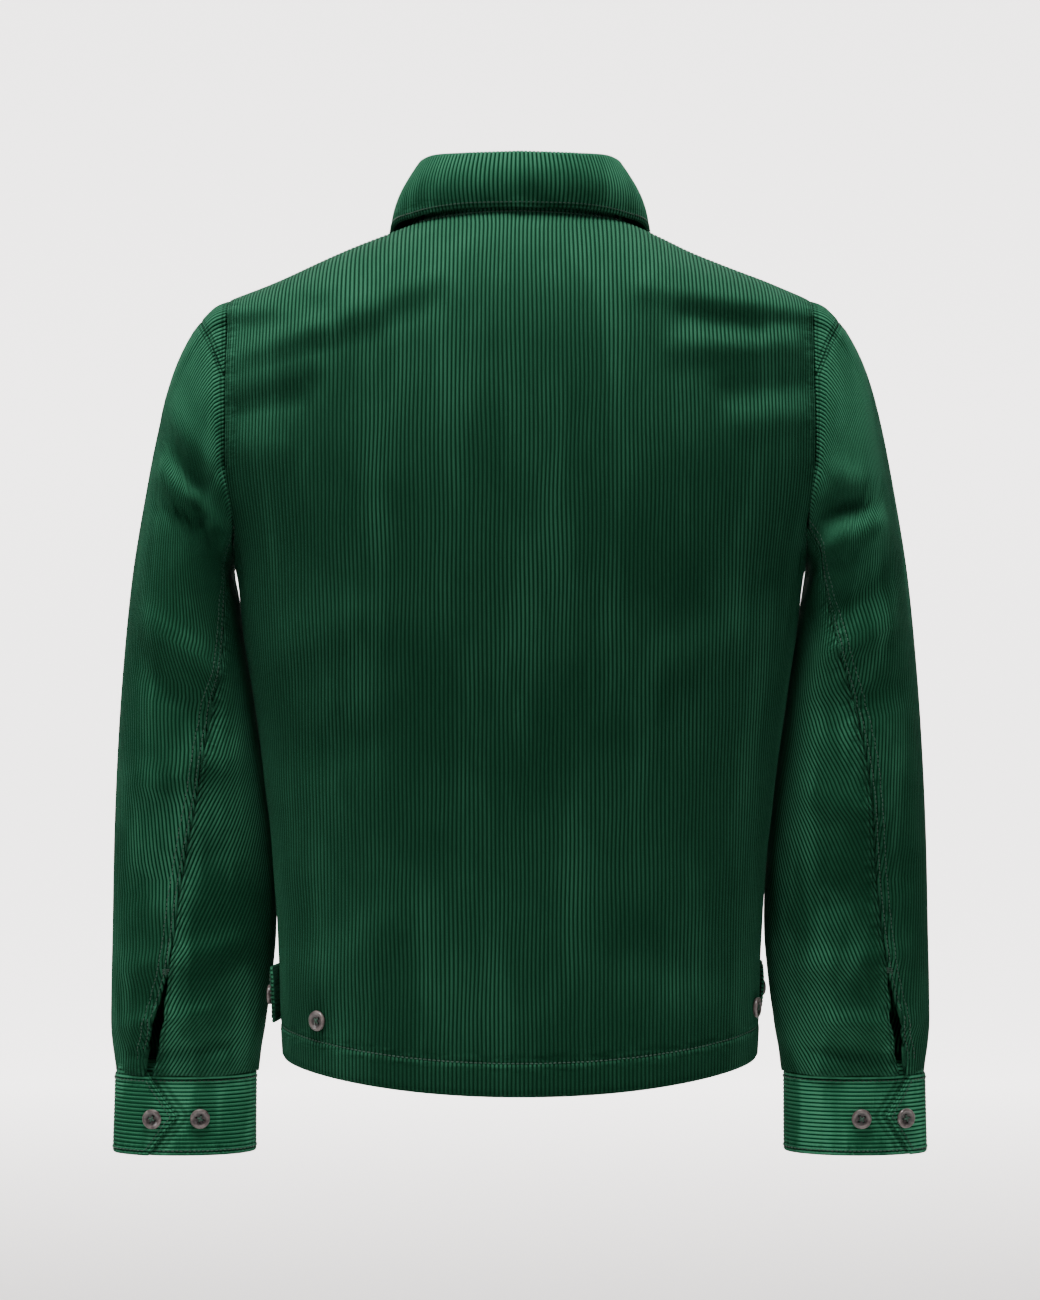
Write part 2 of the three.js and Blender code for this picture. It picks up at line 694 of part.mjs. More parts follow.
// A point of the left tab: from its lower to its upper edge, and along it to its rounded end
function tabPoint(name, across, along) {
  const halfTall = (TAB_TOP - TAB_BOTTOM) / 2;
  const rounding = 12 * (1 - Math.sqrt(1 - (across * 0.98) ** 2));
  const z = TAB_BOTTOM + halfTall * (1 + across);
  const run = THREE.MathUtils.lerp(TAB_LENGTH, rounding, along);
  const turn = radians(TAB_END_ANGLES[name]) + run / 150;
  const face = turn <= SIDE_ANGLE ? 'back' : 'front';
  const sign = face === 'back' ? 1 : -1;
  const square = lookup(BODY, 'z', 'square', z);
  const x = halfWidth(z) * Math.sin(turn) ** (2 / square);
  const depth = lookup(BODY, 'z', face, z) * Math.abs(Math.cos(turn)) ** (2 / square);
  const away = new THREE.Vector3(x / 180, (sign * depth) / 120, 0).normalize();
  const lift = WALL + 0.7 + TAB_LIFT * THREE.MathUtils.smoothstep(along, 0.55, 1);
  return new THREE.Vector3(x, sign * depth, z).addScaledVector(away, lift);
}

// A tab at the side of the hem: it lies on the body and its rounded end stands a little away
function hemTab(name) {
  const side = name === 'left' ? 1 : -1;
  const rows = 4;
  const columns = 6;
  const place = (row, column) => {
    const point = tabPoint(name, (row / rows) * 2 - 1, column / columns);
    point.x *= side;
    return point;
  };
  return gridBody(rows, columns, place, () => WALL, side < 0);
}

// A button: a round body with a raised rim and a dished face, standing along +Z
function buttonGeometry() {
  const profile = [
    [0, 0],
    [BUTTON_RADIUS * 0.86, 0],
    [BUTTON_RADIUS, BUTTON_THICK * 0.45],
    [BUTTON_RADIUS * 0.88, BUTTON_THICK],
    [BUTTON_RADIUS * 0.6, BUTTON_THICK - BUTTON_DISH],
    [0, BUTTON_THICK - BUTTON_DISH],
  ];
  const points = profile.map(([radius, height]) => new THREE.Vector2(radius, height));
  const geometry = new THREE.LatheGeometry(points, BUTTON_SIDES);
  geometry.rotateX(Math.PI / 2);
  return geometry;
}

const jacket = new THREE.Group();

function addPiece(name, geometry, finish) {
  const mesh = new THREE.Mesh(geometry, new THREE.MeshStandardMaterial(finish));
  mesh.name = name;
  mesh.material.side = THREE.DoubleSide;
  jacket.add(mesh);
  return mesh;
}

// A button on a surface: its foot lies just off the point, and it faces along the direction
function addButton(name, point, direction) {
  const mesh = addPiece(name, buttonGeometry(), HORN);
  const facing = direction.clone().normalize();
  mesh.quaternion.setFromUnitVectors(new THREE.Vector3(0, 0, 1), facing);
  mesh.position.copy(point).addScaledVector(facing, BUTTON_SEAT);
}

// A button on the body, at a distance from the middle and a height
function addBodyButton(name, face, x, z) {
  const sign = face === 'back' ? 1 : -1;
  const step = 0.5;
  const slopeX = (bodyDepth(face, x + step, z) - bodyDepth(face, x - step, z)) / (2 * step);
  const slopeZ = (bodyDepth(face, x, z + step) - bodyDepth(face, x, z - step)) / (2 * step);
  const point = new THREE.Vector3(x, sign * bodyDepth(face, x, z), z);
  addButton(name, point, new THREE.Vector3(-slopeX, sign, -slopeZ));
}

// A button on a cuff, at an angle round it
function addCuffButton(name, side, angle, lap) {
  const point = cuffPoint(angle, CUFF_BUTTON_DROP, lap);
  const ahead = cuffPoint(angle + 1, CUFF_BUTTON_DROP, lap).sub(cuffPoint(angle - 1, CUFF_BUTTON_DROP, lap));
  point.x *= side;
  addButton(name, point, new THREE.Vector3(side * ahead.y, -ahead.x, 0));
}

// The button near the rounded end of a tab, which faces as the tab does there
function addTabButton(name, side) {
  const point = tabPoint(name, 0, TAB_BUTTON_PLACE);
  const along = tabPoint(name, 0, TAB_BUTTON_PLACE + 0.05).sub(point);
  const direction = along.cross(new THREE.Vector3(0, 0, 1));
  point.x *= side;
  direction.x *= side;
  addButton(`${name}_tab_button`, point, direction);
}

addPiece('back', backPanel(), CLOTH);
addPiece('left_front', frontPanel(1), CLOTH);
addPiece('right_front', frontPanel(-1), CLOTH);
addPiece('collar_stand', collarStand(), CLOTH);
addPiece('collar_fall', collarFall(), CLOTH);
for (const name of ['left', 'right']) {
  const side = name === 'left' ? 1 : -1;
  const places = CUFF_PLACES[name];
  addPiece(`${name}_sleeve_head`, sleeveHead(name), CLOTH);
  addPiece(`${name}_sleeve_top`, sleevePart(name, 'top'), CLOTH);
  addPiece(`${name}_sleeve_under`, sleevePart(name, 'under'), CLOTH);
  addPiece(`${name}_cuff`, cuff(name), CLOTH);
  addPiece(`${name}_hem_tab`, hemTab(name), CLOTH);
  addTabButton(name, side);
  addCuffButton(`${name}_cuff_button`, side, places.lapButton, CUFF_LAP);
  addCuffButton(`${name}_cuff_spare_button`, side, places.spareButton, 0);
  addBodyButton(`${name}_hem_button`, 'back', HEM_BUTTONS[name].x, HEM_BUTTONS[name].z);
}
for (let i = 0; i < FRONT_BUTTONS; i += 1) {
  const z = THREE.MathUtils.lerp(FRONT_BUTTON_TOP, FRONT_BUTTON_BOTTOM, i / (FRONT_BUTTONS - 1));
  addBodyButton(`front_button_${i + 1}`, 'front', 0, z);
}

export default jacket;
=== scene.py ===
"""A corduroy jacket of shirt cut, worn and hollow, seen from behind.

Every panel is worked out in its own pattern: one wale of the corduroy is a few columns of the grid, and
a column ends where the panel is cut. The panel is then laid on the form of the worn jacket.
Lengths in the functions are millimetres, and the meshes are in metres.
"""
import math
from typing import NamedTuple

import bpy
import numpy as np
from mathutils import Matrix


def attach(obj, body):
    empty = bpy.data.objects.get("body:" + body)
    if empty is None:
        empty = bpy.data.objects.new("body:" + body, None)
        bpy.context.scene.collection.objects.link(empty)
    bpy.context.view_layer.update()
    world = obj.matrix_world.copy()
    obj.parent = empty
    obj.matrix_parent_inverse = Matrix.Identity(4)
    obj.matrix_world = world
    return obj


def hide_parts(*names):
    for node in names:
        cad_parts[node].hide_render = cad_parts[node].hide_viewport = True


bl_info = {
    "name": "Corduroy jacket",
    "version": (1, 0, 0),
    "blender": (4, 5, 0),
    "location": "View3D > Sidebar > Jacket",
    "description": "Dresses the frame of a worn corduroy jacket with ribbed cloth, stitches and buttons",
    "category": "Object",
}

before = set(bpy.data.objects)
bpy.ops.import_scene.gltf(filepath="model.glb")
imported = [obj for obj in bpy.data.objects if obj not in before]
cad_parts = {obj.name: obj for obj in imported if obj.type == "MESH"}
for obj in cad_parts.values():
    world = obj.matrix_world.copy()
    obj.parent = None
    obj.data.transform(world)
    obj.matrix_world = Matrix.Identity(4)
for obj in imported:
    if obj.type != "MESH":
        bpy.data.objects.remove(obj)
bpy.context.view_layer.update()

MM = 0.001
WALL = 2.0
HEM_WALL = 3.4
HEM_TURN = 24.0
SEAM_GAP = 0.3
NO_SEAM = 60.0
HALF_GAP = 0.15

# Shoulders, neck and armhole
NECK_HALF = 74.0
NECK_BACK_RISE = 3.0
NECK_FRONT_DROP = 74.0
RIDGE_START = 75.7
SHOULDER_FALL = 0.425
SHOULDER_TIP = -59.5
SHOULDER_BLEND = -84.0
ARMHOLE_X = 215.0
ARMHOLE_TURN = -185.0
ARMPIT = -250.0

# Hem and front edge
HEM_BACK = -637.5
HEM_RISE = 15.5
HEM_HALF = 177.0
HEM_LEVEL = -628.0
FRONT_LAP = 16.0
FRONT_LAP_DEPTH = 3.9
FRONT_LAP_EDGE = 17.5

# Where the points of one wale lie across it, and how high each stands, on a shown and a hidden side
SHOWN_WALE = ((0.0, 0.3, 0.7), (-1.0, 0.9, 0.9))
HIDDEN_WALE = ((0.0, 0.5), (-1.0, 1.0))


def table(names, *rows):
    """A table with named columns, as a dictionary of arrays sorted by its first column."""
    values = np.array(sorted(rows), dtype=float)
    return {name: values[:, i] for i, name in enumerate(names.split())}


# How much deeper the folds of the cloth are than those of the plain solids
FOLD_GAIN = 1.7

# Horizontal sections of the body: half width, depth behind, depth in front, squareness
BODY = table(
    "z wide back front square",
    (-645, 175.5, 121, 121, 2.4),
    (-580, 179, 118, 120, 2.4),
    (-500, 182.5, 113, 118, 2.38),
    (-420, 190.5, 112, 118, 2.35),
    (-320, 204, 119, 121, 2.35),
    (-250, 214, 125, 122, 2.4),
    (-185, 234.5, 126, 118, 2.4),
    (-150, 239, 124, 111, 2.33),
    (-100, 236, 117, 95, 2.25),
    (-74, 229, 110, 83, 2.18),
    (-50, 193, 101, 69, 2.12),
    (-25, 134, 87, 51, 2.06),
    (0, 75.7, 66, 31, 2),
)

# Sleeve rings from the armhole to the cuff: outer and inner line, middle and half of the depth
SLEEVE = table(
    "t outX outZ inX inZ midY halfY",
    (0, 215, -59.5, 214.5, -250, 1, 62),
    (0.04, 227, -65, 216, -254, 0, 66),
    (0.1, 243, -83, 217, -260, -2, 70),
    (0.17, 258, -112, 217, -269, -4, 73),
    (0.25, 270, -152, 213, -281, -7, 75),
    (0.34, 281, -205, 210.5, -299, -11, 75),
    (0.43, 291, -262, 206.5, -324, -15, 72),
    (0.54, 298.5, -330, 200.5, -365, -18, 68),
    (0.65, 303.5, -395, 194, -413, -20, 63),
    (0.76, 307, -462, 187.5, -472, -23, 56),
    (0.86, 309, -530, 185.5, -535, -27, 48),
    (0.94, 310.5, -594, 192.5, -596, -31, 40),
    (1, 308.5, -640, 200, -640, -34, 33),
)

# Where the seams of the sleeves run, in degrees round the ring from its outer line
SLEEVE_SEAMS = table(
    "t left right front",
    (0, 152, 142, -150),
    (0.1, 151, 141, -150),
    (0.3, 143, 130, -147),
    (0.47, 131, 110, -140),
    (0.565, 115, 94, -132),
    (0.67, 103, 81, -125),
    (0.8, 86, 73, -116),
    (0.9, 77, 65, -109),
    (1, 63, 52, -100),
)
HEAD_REACH = 67.0
HEAD_DEPTH = 0.078
HEAD_END = 0.006
HEAD_GAP = 0.0016
VENT_TOP = 0.9
VENT_WIDTH = 8.0
HEAD_TUCK = (0.009, 3.0)
SEAM_SLIT = 0.2
RING_BLEND = 0.3
FOLD_START = 0.12

# Cuffs
CUFF_HEIGHT = 60.0
CUFF_LAP = 3.0
CUFF_TAPER = 23.0
CUFF_UNDER_END = 36.0
CUFF_BUTTON_DROP = 32.0
CUFF_TUCK = 7.0
CUFF_SPREAD = 0.01
CUFF_SHIFT = 0.8
CUFF_INSET_X = 0.6
CUFF_INSET_Y = 3.0
CUFF_PLACES = {
    "left": {"point": 87.0, "lap": 68.0, "spare": 105.0},
    "right": {"point": 69.0, "lap": 52.0, "spare": 88.0},
}

# Folds of the cloth, as seen from behind: from x, z to x, z, width and height
BACK_FOLDS = (
    (150, -84, 60, -52, 9, 1.4),
    (140, -102, 62, -74, 8, -1.0),
    (206, -128, 150, -116, 9, 2.0),
    (206, -146, 160, -140, 8, -1.6),
    (206, -172, 172, -176, 9, 1.2),
    (-100, -44, -176, -50, 9, 2.4),
    (-112, -104, -196, -98, 9, 2.4),
    (-150, -136, -206, -128, 10, -2.0),
    (-160, -158, -206, -150, 10, 1.5),
    (190, -330, 120, -300, 16, 2.4),
    (-188, -300, -110, -330, 16, 2.2),
    (186, -400, 110, -386, 18, -2.2),
    (150, -560, 96, -520, 16, 1.8),
    (-160, -560, -80, -540, 18, -1.8),
    (209, -107, 107, -80, 12, 3.2),
    (168, -64, 138, -78, 11, -2.4),
    (-91, -60, -190, -68, 10, 2.6),
    (-121, -80, -171, -92, 9, -2.0),
)
SLEEVE_FOLDS = {
    "left": (
        (266, -212, 232, -226, 7, -4),
        (276, -300, 226, -336, 10, 3.6),
        (280, -330, 230, -372, 9, -3.2),
        (286, -420, 214, -402, 11, 2.6),
        (292, -500, 226, -470, 12, -2.4),
        (296, -560, 214, -540, 10, 2.6),
        (300, -604, 236, -592, 8, 3.4),
        (296, -624, 222, -616, 6, -3.0),
        (262, -138, 216, -197, 9, 4),
        (263, -188, 214, -240, 9, 5),
        (268, -155, 240, -200, 8, -4),
    ),
    "right": (
        (232, -290, 276, -262, 9, -3.6),
        (226, -322, 272, -300, 9, 3.4),
        (222, -368, 282, -346, 11, -3.0),
        (214, -430, 262, -440, 11, 2.6),
        (226, -508, 290, -484, 12, -2.4),
        (212, -556, 284, -548, 10, 2.6),
        (232, -598, 300, -602, 8, 3.4),
        (220, -620, 292, -624, 6, -3.0),
        (223, -246, 262, -228, 9, 5),
        (222, -190, 255, -204, 10, 3),
        (224, -222, 262, -206, 8, -4),
    ),
}

# Collar, by the angle round the neck from the middle of the back to the front end
COLLAR_END = 166.0
COLLAR_WALL = 2.2
COLLAR_DRAW = 0.95
FALL_SWELL = 5.0
COLLAR = table(
    "angle neckZ foldX foldY foldZ edgeX edgeY edgeZ",
    (0, 3, 0, 77, 41.5, 0, 71.5, 1.5),
    (30, 2.25, 41, 65.5, 42, 43.5, 62, 1.5),
    (60, 0.75, 68, 36, 44, 77, 37, -0.5),
    (90, 0, 77, -2, 38, 97, 0, -5.5),
    (120, -30, 66, -46, 10, 94, -58, -34),
    (145, -58, 40, -74, -24, 74, -100, -84),
    (166, -72, 14, -91, -45, 50, -118, -124),
)

# Tabs at the sides of the hem
TAB_TOP = -556.0
TAB_BOTTOM = -597.0
TAB_LENGTH = 74.0
TAB_LIFT = 4.5
TAB_FILL = 0.95
TAB_END_ANGLES = {"left": 80.0, "right": 97.0}

# Buttons
HEM_BUTTONS = {"left": (145.6, -588.0), "right": (-173.0, -583.0)}
FRONT_BUTTONS = 6
FRONT_BUTTON_TOP = -104.0
FRONT_BUTTON_BOTTOM = -594.0
TAB_BUTTON_PLACE = 0.82
BUTTON_RADIUS = 7.5
BUTTON_SEAT = 0.4
BUTTON_STEP = 0.5
HOLE_RADIUS = 0.95
HOLE_PLACE = 1.75
FRONT_ROW_TOP = -92.0

# A button's rings by distance from its centre, its height by distance, and its underside as distances
# and heights
BUTTON_RINGS = np.array([0, 0.4, 0.8, 1.1, 1.4, 1.7, 2, 2.3, 2.6, 2.9, 3.3, 3.9, 4.5, 5, 5.5, 6, 6.6, 7.1,
                         7.4, 7.5])
BUTTON_PROFILE = np.array([[0, 3.6, 4.6, 5.4, 6.2, 6.9, 7.3, 7.5],
                           [2.0, 2.05, 2.35, 2.9, 3.2, 3.05, 2.5, 1.6]])
BUTTON_UNDER = np.array([[7.2, 6.4, 0], [0.7, 0, 0]])

# Sewing thread
STITCH_PITCH = 3.3
STITCH_LENGTH = 2.5
STITCH_RADIUS = 0.42
EDGE_ROW = 3.6
SLEEVE_ROW_INSETS = (2.6, 8.0)
TACK_PITCH = 1.6
TACK_DROPS = (-0.002, 0, 0.002)

# One stitch: places of its rings along half its length, and how thick each is
BEAD = np.array([[-1, -0.75, 0, 0.75, 1], [0.15, 0.8, 1, 0.8, 0.15]])

# Rows of points down the panels, and a place past every wale
LOWER_ROWS = 36
UPPER_ROWS = 36
SLEEVE_ROWS = 44
FOREARM_ROWS = 25
FOREARM = 0.82
HEAD_ROWS = 12
STAND_ROWS = 12
FALL_ROWS = 22
CUFF_COLUMNS = 190
TAB_COLUMNS = 34
FAR = 1e6

# Sleeve wales: least gap of two rows, shortest wale, and the step at which two wales aren't joined
ROW_GAP = 6e-5
SHORTEST_WALE = 0.006
SPLIT_STEP = 0.04

# Sines in a ripple of the cloth
RIPPLE_WAVES = 7

# The stage in millimetres: its floor bends up into a wall that stands behind the jacket's front
STAGE_FLOOR = -1300.0
STAGE_FRONT = 6000.0
STAGE_WALL = -6000.0
STAGE_BEND = 1600.0
STAGE_TOP = 7000.0
STAGE_HALF = 9000.0
GLOW_START = -1.6
GLOW_END = -4.4
GLOW = 3.0

# Where the camera stands behind the jacket, and its lens for a sensor of 36 mm along the long side
CAMERA_Y = 2.2
CAMERA_Z = -0.32
LENS = 81.2


def smooth(rows, column, at):
    """A column of a table at many places, on a cubic curve through its rows."""
    keys = rows[next(iter(rows))]
    values = rows[column]
    at = np.clip(np.asarray(at, dtype=float), keys[0], keys[-1])
    before = np.maximum(np.arange(len(keys)) - 1, 0)
    after = np.minimum(np.arange(len(keys)) + 1, len(keys) - 1)
    slopes = (values[after] - values[before]) / (keys[after] - keys[before])
    i = np.clip(np.searchsorted(keys, at, side="right") - 1, 0, len(keys) - 2)
    span = keys[i + 1] - keys[i]
    s = (at - keys[i]) / span
    first = (2 * s**3 - 3 * s**2 + 1) * values[i] + (s**3 - 2 * s**2 + s) * span * slopes[i]
    last = (3 * s**2 - 2 * s**3) * values[i + 1] + (s**3 - s**2) * span * slopes[i + 1]
    return first + last


def ease(value, low, high):
    """Zero below low and one above high, with a soft rise between them."""
    part = np.clip((value - low) / (high - low), 0, 1)
    return part * part * (3 - 2 * part)


def fold_lift(folds, x, z):
    """Lift of all folds: each is a ridge with a bell shaped section along a straight line."""
    lift = np.zeros_like(x)
    for x1, z1, x2, z2, width, height in folds:
        length = math.hypot(x2 - x1, z2 - z1)
        ux, uz = (x2 - x1) / length, (z2 - z1) / length
        along = (x - x1) * ux + (z - z1) * uz
        beyond = np.maximum(0, np.maximum(-along, along - length))
        across = (x - x1) * uz - (z - z1) * ux
        lift += height * FOLD_GAIN * np.exp(-(across**2 + beyond**2) / width**2)
    return lift


def half_width(z):
    """Half width of the body at a height: the shoulder slope at the top, which passes into the table."""
    wide = smooth(BODY, "wide", z)
    slope = RIDGE_START - z / SHOULDER_FALL
    return wide + (slope - wide) * ease(z, SHOULDER_BLEND, SHOULDER_TIP)


def body_depth(face, x, z):
    """Depth of the body behind or in front, on a section like a squared ellipse."""
    square = smooth(BODY, "square", z)
    part = np.minimum(np.abs(x) / half_width(z), 1)
    return smooth(BODY, face, z) * (1 - part**square) ** (1 / square)


def hem_height(x):
    """Height of the hem, which rises a little towards the sides."""
    return HEM_BACK + HEM_RISE * (x / HEM_HALF) ** 2


def column_top(face, x):
    """Height of the shoulder line over x, and of the panel's own top, which is the neck near the middle."""
    far = np.abs(x)
    ridge = (RIDGE_START - far) * SHOULDER_FALL
    part = np.minimum(far / NECK_HALF, 1)
    back = NECK_BACK_RISE * (1 - part**2)
    front = -NECK_FRONT_DROP * np.sqrt(1 - part**2)
    neck = back if face == "back" else front
    return ridge, np.where(far >= NECK_HALF, ridge, neck)


class Girth:
    """Distance round the body's sections from the middle, for one face, and back from it to an angle."""

    LOWEST = -650.0
    LEVELS = 80

    def __init__(self, face):
        self.face = face
        self.levels = np.linspace(self.LOWEST, ARMHOLE_TURN, self.LEVELS)
        self.angles = (1 - np.cos(np.linspace(0, math.pi, 181))) / 2 * math.pi / 2
        x, y = self.section(self.angles[None, :], self.levels[:, None])
        steps = np.hypot(np.diff(x, axis=1), np.diff(y, axis=1))
        self.sums = np.concatenate([np.zeros((self.LEVELS, 1)), np.cumsum(steps, axis=1)], axis=1)

    def section(self, angle, z):
        """x and depth of the squared ellipse at height z: powers of the angle's sine and cosine."""
        square = smooth(BODY, "square", z)
        x = half_width(z) * np.abs(np.sin(angle)) ** (2 / square)
        y = smooth(BODY, self.face, z) * np.abs(np.cos(angle)) ** (2 / square)
        return x, y

    def level(self, z):
        """Which level a height lies on, counted from the lowest, in parts."""
        part = (z - self.LOWEST) / (ARMHOLE_TURN - self.LOWEST)
        return np.clip(part * (self.LEVELS - 1), 0, self.LEVELS - 1.001)

    def place(self, distance, z):
        """x and depth at a distance round the section: the sums are read backwards."""
        shape = distance.shape
        level = self.level(z.ravel())
        low = level.astype(int)
        part = (level - low)[:, None]
        sums = self.sums[low] * (1 - part) + self.sums[low + 1] * part
        want = np.abs(distance.ravel())[:, None]
        k = np.clip((sums < want).sum(axis=1) - 1, 0, sums.shape[1] - 2)
        rows = np.arange(len(k))
        start, end = sums[rows, k], sums[rows, k + 1]
        share = np.clip((want[:, 0] - start) / (end - start), 0, 1)
        angle = self.angles[k] * (1 - share) + self.angles[k + 1] * share
        x, y = self.section(angle, z.ravel())
        return (np.sign(distance.ravel()) * x).reshape(shape), y.reshape(shape)

    def distance(self, x, z):
        """Distance round the section at height z out to x."""
        level = float(self.level(z))
        low = int(level)
        sums = self.sums[low] * (1 - level + low) + self.sums[low + 1] * (level - low)
        across, _ = self.section(self.angles, np.full_like(self.angles, z))
        return float(np.interp(abs(x), across, sums))

    def end(self, z):
        """Whole distance round the face at height z, out to the side seam."""
        return np.interp(z, self.levels, self.sums[:, -1])


def wale_columns(low, high, pitch, shown_from=-FAR):
    """Places of the points across the wales from low to high, and the height of the wale at each.

    Wales before shown_from lie on a hidden side and have fewer points.
    """
    first = math.ceil(low / pitch)
    last = math.floor(high / pitch)
    wales = np.arange(first - 1, last + 1)
    hidden = wales[wales * pitch < shown_from]
    shown = wales[wales * pitch >= shown_from]
    places = [(part[:, None] + np.array(wale[0])[None, :]).ravel() * pitch
              for part, wale in ((hidden, HIDDEN_WALE), (shown, SHOWN_WALE))]
    heights = [np.tile(wale[1], len(part)) for part, wale in ((hidden, HIDDEN_WALE), (shown, SHOWN_WALE))]
    places, heights = np.concatenate(places), np.concatenate(heights)
    inside = (places > low + 0.2) & (places < high - 0.2)
    places = np.concatenate([[low], places[inside], [high]])
    heights = np.concatenate([[0.0], heights[inside], [0.0]])
    return places, heights


def unit(vectors):
    """Vectors of length one."""
    return vectors / np.maximum(np.linalg.norm(vectors, axis=-1, keepdims=True), 1e-12)


def run_lengths(grid, axis):
    """Distance along each line of a grid from its start: the steps between its points, summed up."""
    steps = np.linalg.norm(np.diff(grid, axis=axis), axis=-1)
    start = np.zeros_like(np.take(steps, [0], axis=axis))
    return np.concatenate([start, np.cumsum(steps, axis=axis)], axis=axis)


def mirrored(points, name):
    """Points of the left side, turned over for the right side."""
    return points * np.array([-1 if name == "right" else 1, 1, 1])


def face_normals(points, quads):
    """Outward direction at every point: the sum of the crossed diagonals of the faces round it."""
    one = points[quads[:, 2]] - points[quads[:, 0]]
    other = points[quads[:, 3]] - points[quads[:, 1]]
    crossed = np.cross(one, other)
    normals = np.zeros_like(points)
    for corner in range(4):
        np.add.at(normals, quads[:, corner], crossed)
    return unit(normals)


def rim_quads(quads, count):
    """Faces that close the wall along every edge that only one outer face uses."""
    edges = np.concatenate([quads[:, [i, (i + 1) % 4]] for i in range(4)])
    forward = edges[:, 0].astype(np.int64) * count + edges[:, 1]
    back = edges[:, 1].astype(np.int64) * count + edges[:, 0]
    rim = edges[~np.isin(forward, back)]
    return np.stack([rim[:, 1], rim[:, 0], rim[:, 0] + count, rim[:, 1] + count], axis=1)


class Panel(NamedTuple):
    """A cut piece of cloth, laid on the form of the jacket. Lengths are in millimetres.

    The grid's rows run along the wales and its columns lie across them.
    """

    grid: np.ndarray  # the middle of the cloth's outer face
    used: np.ndarray  # which faces of the grid are cloth
    lift: np.ndarray  # how far the outer face stands out from the grid
    wall: np.ndarray  # how far the inner face lies in from the grid, or one number for all of it
    uv: np.ndarray  # count of wales across, and the length along them in the same unit
    seam: np.ndarray  # distance from the nearest sewn edge
    turned: bool  # whether the grid runs the other way round, so that its faces are turned over
    flat: tuple  # width across the wales and length of the cut
    area: float  # area of the cut


def quad_mesh(name, points, faces):
    """A mesh in metres from points in millimetres and faces of four corners, all smooth."""
    mesh = bpy.data.meshes.new(name)
    mesh.vertices.add(len(points))
    mesh.vertices.foreach_set("co", (points * MM).ravel())
    mesh.loops.add(faces.size)
    mesh.loops.foreach_set("vertex_index", faces.ravel().astype(np.int32))
    mesh.polygons.add(len(faces))
    mesh.polygons.foreach_set("loop_start", np.arange(0, faces.size, 4, dtype=np.int32))
    mesh.update(calc_edges=True)
    mesh.polygons.foreach_set("use_smooth", np.ones(len(faces), dtype=bool))
    return mesh


def mesh_object(name, mesh, material):
    """An object at the origin that holds the mesh and rides on the one body."""
    mesh.validate()
    obj = bpy.data.objects.new(name, mesh)
    bpy.context.scene.collection.objects.link(obj)
    mesh.materials.append(material)
    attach(obj, "root")
    return obj


def cloth_mesh(name, panel, flat_y):
    """A closed wall of cloth from a panel.

    The outer points are the grid moved out by lift, the inner ones the grid moved in by wall, both along
    the way the cloth faces, and the rim between them is closed. With flat_y, points on the plane between
    back and front move within that plane, so that two panels meet there.
    """
    rows, columns = panel.grid.shape[:2]
    ids = np.arange(rows * columns).reshape(rows, columns)
    corners = [ids[:-1, :-1], ids[:-1, 1:], ids[1:, 1:], ids[1:, :-1]]
    quads = np.stack([c[panel.used] for c in corners], axis=1)
    if panel.turned:
        quads = quads[:, ::-1]
    kept, quads = np.unique(quads, return_inverse=True)
    quads = quads.reshape(-1, 4)
    points = panel.grid.reshape(-1, 3)[kept]
    normals = face_normals(points, quads)
    if flat_y:
        at_seam = np.abs(points[:, 1]) < SEAM_GAP
        normals[at_seam, 1] = 0
        normals = unit(normals)
    outer = points + normals * panel.lift.reshape(-1)[kept, None]
    wall = np.broadcast_to(panel.wall, panel.seam.shape)
    inner = points - normals * wall.reshape(-1)[kept, None]
    count = len(points)
    faces = np.concatenate([quads, quads[:, ::-1] + count, rim_quads(quads, count)])
    mesh = quad_mesh(name, np.concatenate([outer, inner]), faces)
    smooth_faces = np.arange(len(faces)) < len(quads) * 2
    mesh.polygons.foreach_set("use_smooth", smooth_faces)
    layer = mesh.uv_layers.new(name="wales")
    both = np.tile(panel.uv.reshape(-1, 2)[kept], (2, 1))
    layer.data.foreach_set("uv", both[faces.ravel()].ravel())
    attribute = mesh.attributes.new("seam", "FLOAT", "POINT")
    away = panel.seam.reshape(-1)[kept]
    attribute.data.foreach_set("value", np.concatenate([away, np.full(count, NO_SEAM)]))
    return mesh


def sew_cloth(node, panel, material, flat_y=False):
    """Cloth replaces its solid."""
    name = f"cloth_{node}"
    obj = mesh_object(name, cloth_mesh(name, panel, flat_y), material)
    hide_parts(node)
    width, length = panel.flat


def whole(grid):
    """Use every face of a grid."""
    return np.ones((grid.shape[0] - 1, grid.shape[1] - 1), dtype=bool)


def wale_map(across, along, pitch):
    """Both lengths counted in wales, as the uv map of a panel."""
    return np.stack(np.broadcast_arrays(across / pitch, along / pitch), axis=2)


def drawn_in(seam, depth, reach):
    """How far a seam draws the cloth in: the depth at the seam, less by a factor e for each reach."""
    return -depth * np.exp(-np.maximum(seam, 0) / reach)


def cut_size(places, lengths):
    """Width and length of a cut, and its area as the sum of strips from one wale to the next."""
    area = np.sum(np.diff(places) * lengths[1:])
    return (float(places[-1] - places[0]), float(lengths.max())), float(area)


def ripple(x, z, seed, size):
    """Slow random waves over a panel: the mean of a few sines whose directions and lengths are drawn."""
    draws = np.random.default_rng(seed)
    total = 0.0
    for _ in range(RIPPLE_WAVES):
        angle = draws.uniform(-0.5, 0.5)
        wave = draws.uniform(0.6, 1.6) * size
        phase = draws.uniform(0, 2 * math.pi)
        total = total + np.sin((x * math.cos(angle) + z * math.sin(angle) * 0.6) / wave * 2 * math.pi + phase)
    return total / RIPPLE_WAVES


